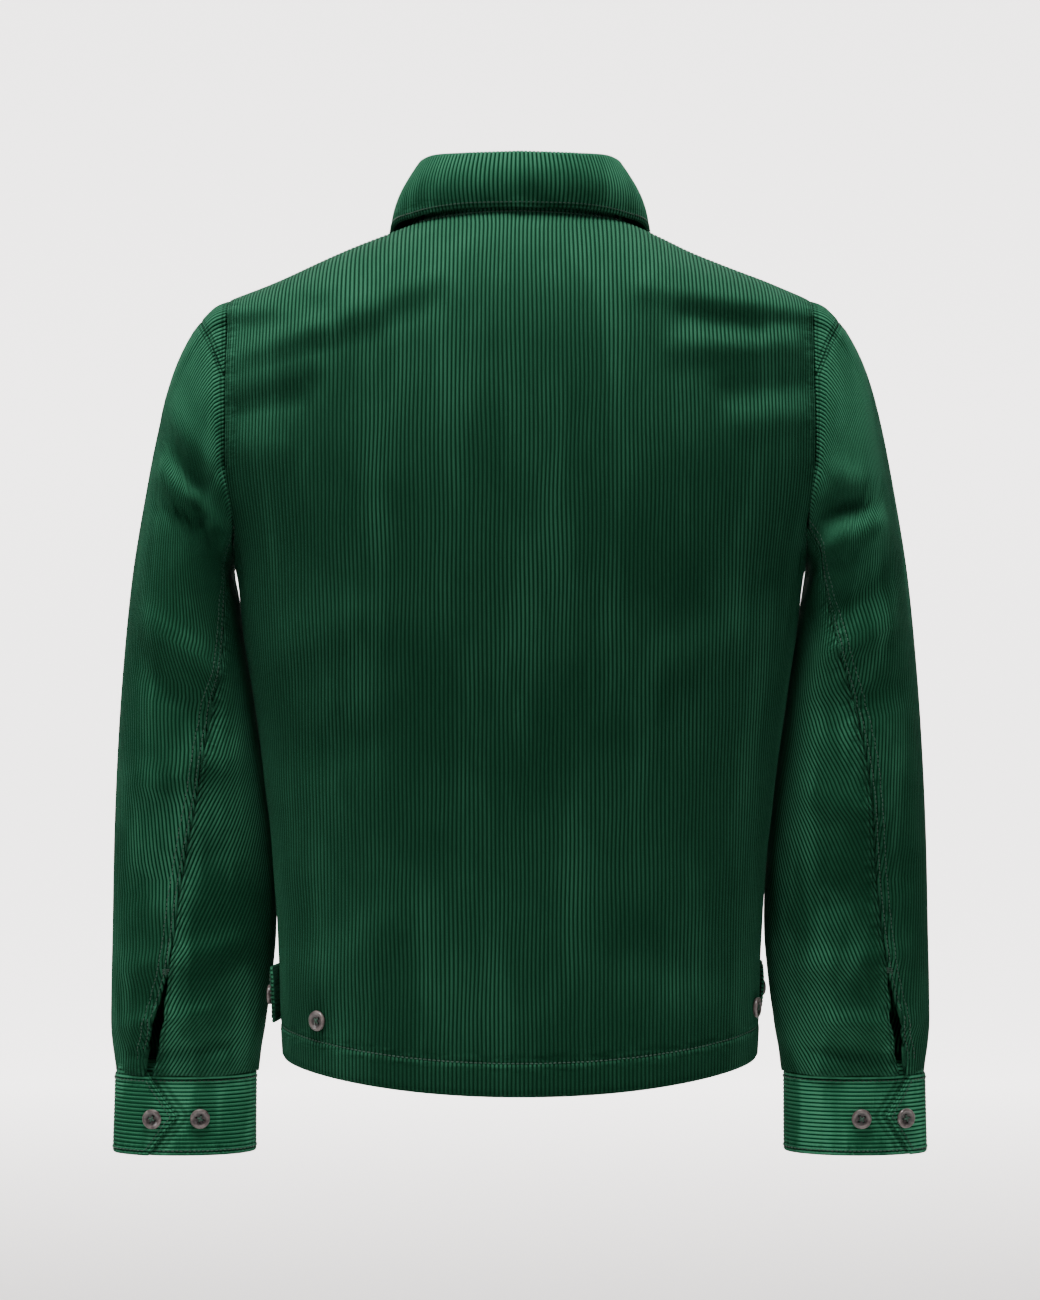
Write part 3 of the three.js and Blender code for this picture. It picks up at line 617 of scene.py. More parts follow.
def body_rows(bottom, top):
    """Heights down a column below the armhole's turn: close rows over the sewn hem, even ones above."""
    hem = np.array([0, 0.7, 2.5, 7, 14, 20, 22.5, 24, 25.5, 28, 34])
    rest = np.linspace(0, 1, LOWER_ROWS + 1)[1:]
    low = bottom[None, :] + hem[:, None]
    high = low[-1][None, :] + (top[None, :] - low[-1][None, :]) * rest[:, None]
    return np.concatenate([low, high])


def hem_groove(above):
    """The cloth swells over the turned hem and is drawn in along its row of stitches."""
    swell = 0.55 * ease(above, -1, 2.5) * (1 - ease(above, 22, 27))
    return swell - 0.75 * np.exp(-((above - HEM_TURN) / 1.3) ** 2) - 0.5 * (1 - ease(above, 0, 2.5))


def armhole_scoop(girth, turn):
    """The armhole below its turn, a quarter of an oval round the body's section, at angles of turn.

    The place round the body goes by the cosine of turn and the height by its sine.
    """
    square = float(smooth(BODY, "square", ARMHOLE_TURN))
    start = math.asin((ARMHOLE_X / float(half_width(np.array(ARMHOLE_TURN)))) ** (square / 2))
    angle = start + (math.pi / 2 - start) * (1 - np.cos(turn))
    z = ARMHOLE_TURN + (ARMPIT - ARMHOLE_TURN) * np.sin(turn)
    return (*girth.section(angle, z), z)


def body_upper(face, x):
    """Heights and depths of the columns above the armhole's turn.

    A column rises over the shoulder by the sine of an angle that ends at its neck or shoulder seam.
    """
    ridge, stop_z = column_top(face, x)
    stop = np.arcsin(np.clip((stop_z - ARMHOLE_TURN) / (ridge - ARMHOLE_TURN), 0, 1))
    share = 1 - (1 - np.linspace(0, 1, UPPER_ROWS + 1)[1:]) ** 1.2
    z = ARMHOLE_TURN + (ridge - ARMHOLE_TURN)[None, :] * np.sin(stop[None, :] * share[:, None])
    return z, body_depth(face, np.broadcast_to(x, z.shape), z)


def body_waves(face, x, z, above):
    """Slow waves of a body panel that die out over the hem: the height above its edge says where."""
    seeds = {"back": (11, 17), "front": (12, 18)}[face]
    waves = 1.6 * ripple(x, z * 0.4, seeds[0], 130.0) + 0.5 * ripple(z * 1.2, x, seeds[1], 90.0)
    return waves * ease(above, 10, 60)


def body_panel(settings, face, side):
    """The back or a front.

    Columns are wales at an even distance round the body. Below the armhole's turn a column keeps that
    distance, and above it the column keeps its x and rounds over to the shoulder seam.
    """
    girth = GIRTHS[face]
    pitch = settings.wale_pitch / MM
    turn_end = girth.distance(ARMHOLE_X, ARMHOLE_TURN)
    scoop_x, _, scoop_z = armhole_scoop(girth, np.linspace(0, 1, 120) * math.pi / 2)
    scoop_at = np.array([girth.distance(x, z) for x, z in zip(scoop_x, scoop_z)])
    low = -scoop_at[-1] if face == "back" else -FRONT_LAP
    places, heights = wale_columns(low, scoop_at[-1], pitch, -FAR if face == "back" else FAR)
    reach = np.abs(places)
    outside = reach > turn_end + 0.01
    scoop = np.interp(reach, scoop_at, scoop_z)
    top = np.where(reach <= turn_end, ARMHOLE_TURN, scoop)
    bottom = hem_height(girth.place(places, np.full_like(places, HEM_LEVEL))[0])

    z_low = body_rows(bottom, top)
    spread = np.broadcast_to(places, z_low.shape)
    held = np.sign(spread) * np.minimum(np.abs(spread), girth.end(z_low))
    x_low, y_low = girth.place(held, z_low)
    x_top, _ = girth.place(places, np.full_like(places, ARMHOLE_TURN))
    z_high, y_high = body_upper(face, x_top)
    x = np.concatenate([x_low, np.broadcast_to(x_top, z_high.shape)])
    y = np.maximum(np.concatenate([y_low, y_high]), HALF_GAP)
    z = np.concatenate([z_low, z_high])
    used = whole(x)
    used[len(z_low) - 1:, :] = ~(outside[:-1] | outside[1:])[None, :]

    over = np.hypot(np.diff(np.concatenate([z_low[-1:], z_high]), axis=0),
                    np.diff(np.concatenate([y_low[-1:], y_high]), axis=0))
    down = np.concatenate([z_low, z_low[-1:] + np.cumsum(over, axis=0)])
    above = z - bottom[None, :]
    inset = np.abs(ARMHOLE_X - np.abs(x))
    beside = np.where(z > ARMHOLE_TURN, inset, np.hypot(inset, z - ARMHOLE_TURN))
    armhole = np.where(outside[None, :], np.minimum(scoop[None, :] - z, NO_SEAM), beside)
    to_top = (down[-1][None, :] - down) if face == "back" else np.abs(z[-1] - z)
    at_neck = (np.abs(x_top)[None, :] < NECK_HALF + 30) & ~outside[None, :]
    seam = np.minimum(armhole, np.where(at_neck, to_top, NO_SEAM))
    seam = np.minimum(seam, np.abs(above - HEM_TURN) + 3)
    if face == "front":
        seam = np.minimum(seam, places[None, :] - low)

    lift = settings.wale_height / MM * heights[None, :] * ease(above, 0.5, 3) + hem_groove(above)
    lift = lift + body_waves(face, x, z, above) + drawn_in(armhole, 0.7, 1.6)
    wall = np.where(above < HEM_TURN, HEM_WALL, WALL)
    calm = ease(seam, 0, 22) * ease(above, 24, 60)
    x = x + calm * (1.5 * ripple(x * 0.6, z * 2.2, 14, 70.0) + 0.7 * ripple(x * 1.4, z * 3.0, 15, 60.0))
    if face == "back":
        y = y + np.clip((y - 40) / 40, 0, 1) * fold_lift(BACK_FOLDS, x, z)
    elif side < 0:
        y = y - FRONT_LAP_DEPTH * (1 - ease(x, FRONT_LAP_EDGE + 1, 2 * FRONT_LAP_EDGE))
    grid = np.stack([side * x, y if face == "back" else -y, z], axis=2)
    flat, area = cut_size(places, np.where(outside, top - bottom, down[-1] - down[0]))
    turned = (face == "back") != (side < 0)
    return Panel(grid, used, lift, wall, wale_map(places, down, pitch), seam, turned, flat, area)


GIRTHS = {face: Girth(face) for face in ("back", "front")}


def armhole_seam():
    """Points of the armhole's seam on the body, each after the angle that it has round the sleeve.

    The cosine of that angle is the height from the middle of the armhole, in halves of its height.
    """
    ridge = float(column_top("back", np.array(ARMHOLE_X))[0])
    low = SLEEVE["inZ"][0]
    points = []
    for face, sign in (("front", -1), ("back", 1)):
        z = ARMHOLE_TURN + (ridge - ARMHOLE_TURN) * np.sin(np.linspace(math.pi / 2, 0, 60))
        x = np.full_like(z, ARMHOLE_X)
        upper = np.stack([x, body_depth(face, x, z), z], axis=1)
        scoop = armhole_scoop(GIRTHS[face], np.linspace(0, math.pi / 2, 60)[1:])
        x, y, z = np.concatenate([upper, np.stack(scoop, axis=1)]).T
        height = (z - (ridge + low) / 2) / ((ridge - low) / 2)
        angle = sign * np.degrees(np.arccos(np.clip(height, -1, 1)))
        points.append(np.stack([angle, x, sign * np.maximum(y, HALF_GAP), z], axis=1))
    both = np.concatenate(points)
    return both[np.argsort(both[:, 0], kind="stable")]


ARMHOLE = armhole_seam()


def sleeve_ring(t, angle):
    """A ring of the left sleeve as an ellipse between its outer and inner line."""
    turn = np.radians(angle)
    out_x, in_x = smooth(SLEEVE, "outX", t), smooth(SLEEVE, "inX", t)
    out_z, in_z = smooth(SLEEVE, "outZ", t), smooth(SLEEVE, "inZ", t)
    x = (out_x + in_x) / 2 + (out_x - in_x) / 2 * np.cos(turn)
    z = (out_z + in_z) / 2 + (out_z - in_z) / 2 * np.cos(turn)
    y = smooth(SLEEVE, "midY", t) + smooth(SLEEVE, "halfY", t) * np.sin(turn)
    return np.stack([x, y, z], axis=-1)


def sleeve_point(name, t, angle):
    """A point of a sleeve on the left: its rings leave the armhole's seam and become ellipses."""
    t, angle = np.broadcast_arrays(np.asarray(t, dtype=float), np.asarray(angle, dtype=float))
    ring = sleeve_ring(t, angle)
    turn = (angle + 180) % 360 - 180
    seam = np.stack([np.interp(turn, ARMHOLE[:, 0], ARMHOLE[:, i]) for i in (1, 2, 3)], axis=-1)
    away = seam - sleeve_ring(np.zeros_like(t), angle)
    away[..., 0] += SEAM_GAP
    ring = ring + away * (1 - ease(t, 0, RING_BLEND))[..., None]
    facing = np.sin(np.radians(angle))
    out = facing * ease(t, 0, FOLD_START)
    ring[..., 1] += out * fold_lift(SLEEVE_FOLDS[name], ring[..., 0], ring[..., 2])
    return ring


class SleeveGirth:
    """Distance round the sleeve's rings from the outer line, and down the sleeve.

    The distances are summed once on a grid of rings and angles, and read between its points.
    """

    RINGS = 160
    STEPS = 300
    REACH = 300.0
    AT_ONCE = 4000

    def __init__(self, name):
        self.t = np.linspace(0, 1, self.RINGS + 1)
        self.angles = np.linspace(-self.REACH, self.REACH, self.STEPS + 1)
        points = sleeve_point(name, self.t[:, None], self.angles[None, :])
        sums = run_lengths(points, 1)
        middle = self.STEPS // 2
        self.sums = sums - sums[:, middle:middle + 1]
        self.down = run_lengths(points[:, middle], 0)

    def angle(self, distance, t):
        """Angle at a distance round the ring at t: the sums are read backwards, many at once."""
        shape = np.broadcast_shapes(np.shape(distance), np.shape(t))
        distance = np.broadcast_to(distance, shape).ravel()
        place = np.clip(np.broadcast_to(t, shape).ravel() * self.RINGS, 0, self.RINGS - 0.001)
        low = place.astype(int)
        part = place - low
        result = np.empty(len(distance))
        for start in range(0, len(distance), self.AT_ONCE):
            cut = slice(start, start + self.AT_ONCE)
            mix = part[cut][:, None]
            sums = self.sums[low[cut]] * (1 - mix) + self.sums[low[cut] + 1] * mix
            k = np.clip((sums < distance[cut][:, None]).sum(axis=1) - 1, 0, self.STEPS - 1)
            index = np.arange(len(k))
            left, right = sums[index, k], sums[index, k + 1]
            share = np.clip((distance[cut] - left) / (right - left), 0, 1)
            result[cut] = self.angles[k] * (1 - share) + self.angles[k + 1] * share
        return result.reshape(shape)

    def distance(self, angle, t):
        """Distance round the ring at t out to an angle, one pair at a time in arrays of one shape."""
        place = np.clip(np.asarray(t) * self.RINGS, 0, self.RINGS - 0.001)
        low = place.astype(int)
        part = place - low
        at = (np.asarray(angle) + self.REACH) / (2 * self.REACH / self.STEPS)
        at = np.clip(at, 0, self.STEPS - 0.001)
        k = at.astype(int)
        mix = at - k
        one = self.sums[low, k] * (1 - mix) + self.sums[low, k + 1] * mix
        two = self.sums[low + 1, k] * (1 - mix) + self.sums[low + 1, k + 1] * mix
        return one * (1 - part) + two * part


SLEEVE_GIRTHS = {name: SleeveGirth(name) for name in ("left", "right")}


def head_depth(angle):
    """How far down the sleeve the head piece reaches at an angle."""
    part = np.minimum(np.abs(angle) / HEAD_REACH, 1)
    return HEAD_END + (HEAD_DEPTH - HEAD_END) * (1 - part**2)


def vent_opening(t):
    """How far each side of the back seam stands open at the vent: half a sine wave with small waves on it."""
    part = np.clip((t - VENT_TOP) / (1 - VENT_TOP), 0, 1)
    return 0.2 + VENT_WIDTH / 2 * np.sin(part * math.pi * 0.8) * (1 + 0.16 * np.sin(part * 19))


def seam_lines(settings, name, t):
    """Distances round the sleeve of the back and the front seam, and of the lean of the under part's wales.

    Counted from a leaning wale, the back seam falls to its lowest place and then rises, and the front seam
    only rises, so a wale meets each of them once.
    """
    girth = SLEEVE_GIRTHS[name]
    down = np.interp(t, girth.t, girth.down)
    inner = girth.distance(np.full_like(t, 180.0), t)
    slope = math.tan(settings.under_lean)
    lean = inner - inner[0] - slope * np.maximum(0, down - 250) * ease(down, 150, 420)
    back = girth.distance(smooth(SLEEVE_SEAMS, name, t), t) + vent_opening(t) - lean
    turn = int(np.argmin(back))
    back[:turn] = np.minimum.accumulate(back[:turn])
    back[turn:] = np.maximum.accumulate(back[turn:])
    front = np.maximum.accumulate(girth.distance(smooth(SLEEVE_SEAMS, "front", t) + 360, t) - lean)
    return back + lean - vent_opening(t), front + lean, lean


def sleeve_edges(settings, name, part, t):
    """Distances round the sleeve of a part's two edges at t, and of the lean of its wales."""
    girth = SLEEVE_GIRTHS[name]
    back, front, lean = seam_lines(settings, name, t)
    if part == "under":
        return back + vent_opening(t), front - SEAM_SLIT, lean
    half = np.full_like(t, 180.0)
    front = front - girth.distance(half, t) + girth.distance(-half, t) + SEAM_SLIT
    return front, back - vent_opening(t), np.zeros_like(t)


def head_end(girth, places):
    """t at which the head piece ends on each wale, with a small gap, counted off on a fine scale."""
    t = np.linspace(0, HEAD_DEPTH + 0.01, 300)[:, None]
    angle = girth.angle(places[None, :], t)
    limit = np.where(np.abs(angle) < HEAD_REACH + 1, head_depth(angle) + HEAD_GAP, 0)
    return (t < limit).sum(axis=0) / 299 * (HEAD_DEPTH + 0.01)


def sleeve_waves(name, part, t, path, down, seam):
    """Slow waves of a sleeve, the drawn in seams, the wavy vent and the gathers above the cuff."""
    waves = 0.9 * ripple(path * 1.3, down, {"left": 21, "right": 22}[name], 90.0)
    flare = ease(t, VENT_TOP, VENT_TOP + 0.03) * (1 - ease(t, 0.985, 1))
    phase = {"top": 1, "under": 3}[part]
    vent = 2.0 * flare * np.exp(-np.maximum(seam, 0) / 9) * np.sin(down / 5.5 + phase)
    gather = 1.5 * ease(down, down.max() - 60, down.max() - 5) * np.sin(path / 9.5 + down / 17)
    return waves + vent + drawn_in(seam, 0.7, 1.5) + gather


def sleeve_panel(settings, name, part):
    """A long part of a sleeve.

    A wale of the top part keeps its distance from the outer line. One of the under part leans outwards
    below the elbow, and both end where the seam cuts them. The rows lie at the same t on every wale and
    are moved together towards its ends. Neighbours whose ends lie far apart aren't joined there.
    """
    girth = SLEEVE_GIRTHS[name]
    pitch = settings.wale_pitch / MM
    top = part == "top"
    fine = np.linspace(0, 1, 3001)
    low_edge, high_edge, lean = sleeve_edges(settings, name, part, fine)
    places, heights = wale_columns(float((low_edge - lean).min()), float((high_edge - lean).max()), pitch,
                                   0.0 if top else -FAR)
    paths = places[None, :] + lean[:, None]
    inside = (paths >= low_edge[:, None] - 0.01) & (paths <= high_edge[:, None] + 0.01)
    if top:
        inside &= fine[:, None] >= head_end(girth, places)[None, :]
    first = fine[inside.argmax(axis=0)]
    last = fine[len(fine) - 1 - inside[::-1].argmax(axis=0)]
    good = inside.any(axis=0) & (last - first > SHORTEST_WALE)
    places, heights, first, last = places[good], heights[good], first[good], last[good]

    lower = np.linspace(FOREARM, 1, FOREARM_ROWS + 1)[1:]
    rows = np.concatenate([[0], np.linspace(0, FOREARM, SLEEVE_ROWS), lower])
    count = np.arange(len(rows))[:, None] * ROW_GAP
    t = np.clip(rows[:, None], first + count, last - count[::-1])
    tucked = top & (first > HEAD_END)
    t[0] -= HEAD_TUCK[0] * tucked
    path = places[None, :] + np.interp(t, fine, lean)
    angle = girth.angle(path, t)
    grid = sleeve_point(name, t, angle)
    down = np.interp(t, girth.t, girth.down)
    seam = np.minimum(path - np.interp(t, fine, low_edge), np.interp(t, fine, high_edge) - path)
    if top:
        seam = np.minimum(seam, np.maximum(down - np.interp(head_depth(angle), girth.t, girth.down), 0))
    lift = settings.wale_height / MM * heights + sleeve_waves(name, part, t, path, down, seam)
    lift[0] -= HEAD_TUCK[1] * tucked
    apart = np.abs(np.diff(t, axis=1)) > SPLIT_STEP
    used = ~(apart[:-1] | apart[1:])
    flat, area = cut_size(places, run_lengths(grid, 0)[-1])
    uv = wale_map(places, down, pitch)
    return Panel(mirrored(grid, name), used, lift, WALL, uv, seam, name == "left", flat, area)


def sleeve_head_panel(settings, name):
    """The small head of a sleeve: its wales run out from the armhole to an oval line."""
    girth = SLEEVE_GIRTHS[name]
    pitch = settings.wale_pitch / MM
    low, high = (float(girth.distance(np.array(end), np.array(0.0))) for end in (-HEAD_REACH, HEAD_REACH))
    places, heights = wale_columns(low, high, pitch)
    angle = girth.angle(places, np.zeros_like(places))
    t = np.linspace(0, 1, HEAD_ROWS)[:, None] * head_depth(angle)
    grid = mirrored(sleeve_point(name, t, angle), name)
    down = np.interp(t, girth.t, girth.down)
    seam = np.minimum(down, down[-1] - down)
    lift = settings.wale_height / MM * heights + drawn_in(seam, 0.6, 1.5)
    flat, area = cut_size(places, down[-1])
    uv = wale_map(places, down, pitch)
    return Panel(grid, whole(grid), lift, WALL, uv, seam, name == "left", flat, area)


def cuff_point(angle, down, out):
    """A point of the left cuff: an ellipse that widens a little downwards, moved out by out."""
    turn = np.radians(angle)
    spread = 1 + down / CUFF_HEIGHT * CUFF_SPREAD
    last = {key: float(values[-1]) for key, values in SLEEVE.items()}
    half_x = ((last["outX"] - last["inX"]) / 2 - CUFF_INSET_X) * spread + out
    half_y = (last["halfY"] - CUFF_INSET_Y) * spread + out
    x = (last["outX"] + last["inX"]) / 2 + CUFF_SHIFT * down / CUFF_HEIGHT + half_x * np.cos(turn)
    y = last["midY"] + half_y * np.sin(turn)
    return np.stack(np.broadcast_arrays(x, y, last["outZ"] - SEAM_GAP - down), axis=-1)


def cuff_lap(turn):
    """How far the cuff stands out where its end laps over the other."""
    return CUFF_LAP * ease(turn, 360, 360 + CUFF_UNDER_END - 4)


def cuff_end(name, down):
    """Angle of the cuff's pointed end at a distance down: it is furthest out at half the height."""
    return 360 + CUFF_PLACES[name]["point"] - CUFF_TAPER * np.abs(2 * down / CUFF_HEIGHT - 1)


def cuff_panel(settings, name):
    """A cuff: one band round the wrist, from its under end to its point, and a row tucked up inside.

    Its wales run round it, so here the rows of the grid lie across the wales.
    """
    pitch = settings.wale_pitch / MM
    places, heights = (np.append(-CUFF_TUCK, row) for row in wale_columns(0.0, CUFF_HEIGHT, pitch))
    down = places[:, None]
    start, end = CUFF_UNDER_END - 6, cuff_end(name, down)
    turn = start + (end - start) * np.linspace(0, 1, CUFF_COLUMNS)
    grid = cuff_point(turn, down, cuff_lap(turn))
    length = run_lengths(grid, 1)
    # Painted shadow: on the under layer just past the lapped end the seam distance is made small, so that the
    # pile shader darkens a strip there as if in the lap's shadow
    beyond = (turn - end + 360) * length[:, -1:] / (end - CUFF_UNDER_END)
    beyond = np.where(beyond > 0, beyond * 0.5, NO_SEAM)
    edge = np.minimum(np.minimum(down, CUFF_HEIGHT - down), length[:, -1:] - length)
    seam = np.maximum(np.minimum(edge, beyond), 0)
    lift = settings.wale_height / MM * heights[:, None] + drawn_in(seam, 0.6, 1.3)
    lift += 0.4 * ripple(length, down * 2, {"left": 31, "right": 32}[name], 60.0)
    (tall, wide), area = cut_size(places[1:], length[1:, -1])
    uv = wale_map(down, length, pitch)
    return Panel(mirrored(grid, name), whole(grid), lift, WALL, uv, seam, name == "left", (wide, tall), area)


def collar_rows(angle):
    """Neck, fold and lower edge of the collar at signed angles round the neck."""
    turn = np.abs(angle)
    sign = np.sign(angle)
    neck_x = NECK_HALF * np.sin(np.radians(turn))
    neck_z = smooth(COLLAR, "neckZ", turn)
    behind = turn <= 90
    inside = np.minimum(neck_x, NECK_HALF - 0.4)
    depth = np.where(behind, body_depth("back", inside, neck_z), -body_depth("front", inside, neck_z))
    neck = np.stack([sign * neck_x, depth, neck_z], axis=-1)
    columns = [smooth(COLLAR, key, turn) for key in ("foldX", "foldY", "foldZ", "edgeX", "edgeY", "edgeZ")]
    fold = np.stack([sign * columns[0], columns[1], columns[2]], axis=-1)
    edge = np.stack([sign * columns[3], columns[4], columns[5]], axis=-1)
    return neck, fold, edge


def collar_columns(settings, shown_from):
    """Places and heights of the wales round the collar, evenly spaced along its fold, and their angles."""
    angles = np.linspace(-COLLAR_END, COLLAR_END, 800)
    length = run_lengths(collar_rows(angles)[1], 0)
    half = length[-1] / 2
    places, heights = wale_columns(-half, half, settings.wale_pitch / MM, shown_from)
    return places, heights, np.interp(places + half, length, angles)


def drawn_line(line, size, drop):
    """A line round the neck, made smaller by a factor and let down."""
    return line * np.array([size, size, 1]) - np.array([0, 0, drop])


def fall_point(fold, edge, share):
    """The fall at a share of the way down: a straight line that swells outwards by half a sine wave."""
    outward = unit(edge * np.array([1, 1, 0]))
    return fold * (1 - share) + edge * share + outward * FALL_SWELL * np.sin(share * math.pi)


def collar_panel(settings, part):
    """The stand, from the neck seam up to the fold, or the fall, over the fold and down to its edge.

    Each starts with one more row, which is tucked in under the cloth beside it.
    """
    pitch = settings.wale_pitch / MM
    fall = part == "fall"
    places, heights, angle = collar_columns(settings, -FAR if fall else FAR)
    neck, fold, edge = collar_rows(angle)
    if fall:
        tuck = drawn_line(fold, COLLAR_DRAW, 0.4)
        rows = fall_point(fold, edge, np.linspace(0, 1, FALL_ROWS)[:, None, None])
    else:
        tuck = drawn_line(neck, 0.96, 2.6)
        share = np.linspace(0, 1, STAND_ROWS)[:, None, None]
        rows = drawn_line(neck, 1, -0.4) * (1 - share) + drawn_line(fold, COLLAR_DRAW, 3.4) * share
    grid = np.concatenate([tuck[None], rows])
    down = run_lengths(grid, 0)
    ends = np.minimum(places - places[0], places[-1] - places)
    seam = np.minimum(ends, down[-1] - down) if fall else np.full(down.shape, NO_SEAM)
    lift = settings.wale_height / MM * heights * ease(down, -1, 3) + drawn_in(seam, 0.6, 1.5)
    if fall:
        lift += 0.9 * ripple(places, down * 2, 41, 110.0) * ease(down, 4, 20)
    flat, area = cut_size(places, down[-1])
    uv = wale_map(places, down, pitch)
    return Panel(grid, whole(grid), lift, COLLAR_WALL, uv, seam, not fall, flat, area)


def tab_point(name, across, along):
    """A point of the left tab, from its lower to its upper edge and along it to its rounded end.

    The tab bends round the body's section and lifts away from it towards its end.
    """
    across, along = np.broadcast_arrays(np.asarray(across, dtype=float), np.asarray(along, dtype=float))
    rounding = 12 * (1 - np.sqrt(1 - (across * 0.98) ** 2))
    z = TAB_BOTTOM + (TAB_TOP - TAB_BOTTOM) / 2 * (1 + across)
    turn = math.radians(TAB_END_ANGLES[name]) + (TAB_LENGTH * (1 - along) + rounding * along) / 150
    square = smooth(BODY, "square", z)
    x = half_width(z) * np.sin(turn) ** (2 / square)
    depth = np.where(turn <= math.pi / 2, smooth(BODY, "back", z), -smooth(BODY, "front", z))
    y = depth * np.abs(np.cos(turn)) ** (2 / square)
    away = unit(np.stack([x / 180, y / 120, np.zeros_like(x)], axis=-1))
    out = WALL + 0.7 + TAB_LIFT * ease(along, 0.55, 1)
    return np.stack([x, y, z], axis=-1) + away * np.asarray(out)[..., None]


def tab_panel(settings, name):
    """A tab at the side of the hem. Its wales run along it and its rounded end stands away."""
    pitch = settings.wale_pitch / MM
    tall = TAB_TOP - TAB_BOTTOM
    places, heights = wale_columns(0.0, tall, pitch)
    along = np.linspace(0, 1, TAB_COLUMNS)
    grid = mirrored(tab_point(name, (places / tall * 2 - 1)[:, None], along), name)
    length = TAB_LENGTH * along
    seam = np.minimum(np.minimum(places, tall - places)[:, None], TAB_LENGTH - length)
    lift = settings.wale_height / MM * heights[:, None] * 0.8 + drawn_in(seam, 0.5, 1.3)
    uv = wale_map(places[:, None], length, pitch)
    area = TAB_LENGTH * tall * TAB_FILL
    return Panel(grid, whole(grid), lift, WALL, uv, seam, name == "right", (TAB_LENGTH, tall), area)


def node_maker(tree):
    """Two functions that add nodes to a shader tree: one for any node, one for sums and the like."""

    def add(kind, inputs, **properties):
        """Add a node, set its properties, fill its inputs with values or links, and give its outputs."""
        node = tree.nodes.new(f"ShaderNode{kind}")
        for name, value in properties.items():
            setattr(node, name, value)
        for name, value in inputs.items():
            if isinstance(value, bpy.types.NodeSocket):
                tree.links.new(value, node.inputs[name])
            else:
                node.inputs[name].default_value = value
        return node.outputs

    def step(operation, *values):
        """A sum or another step of one or two values, each a number or a socket."""
        return add("Math", dict(enumerate(values)), operation=operation)[0]

    return add, step


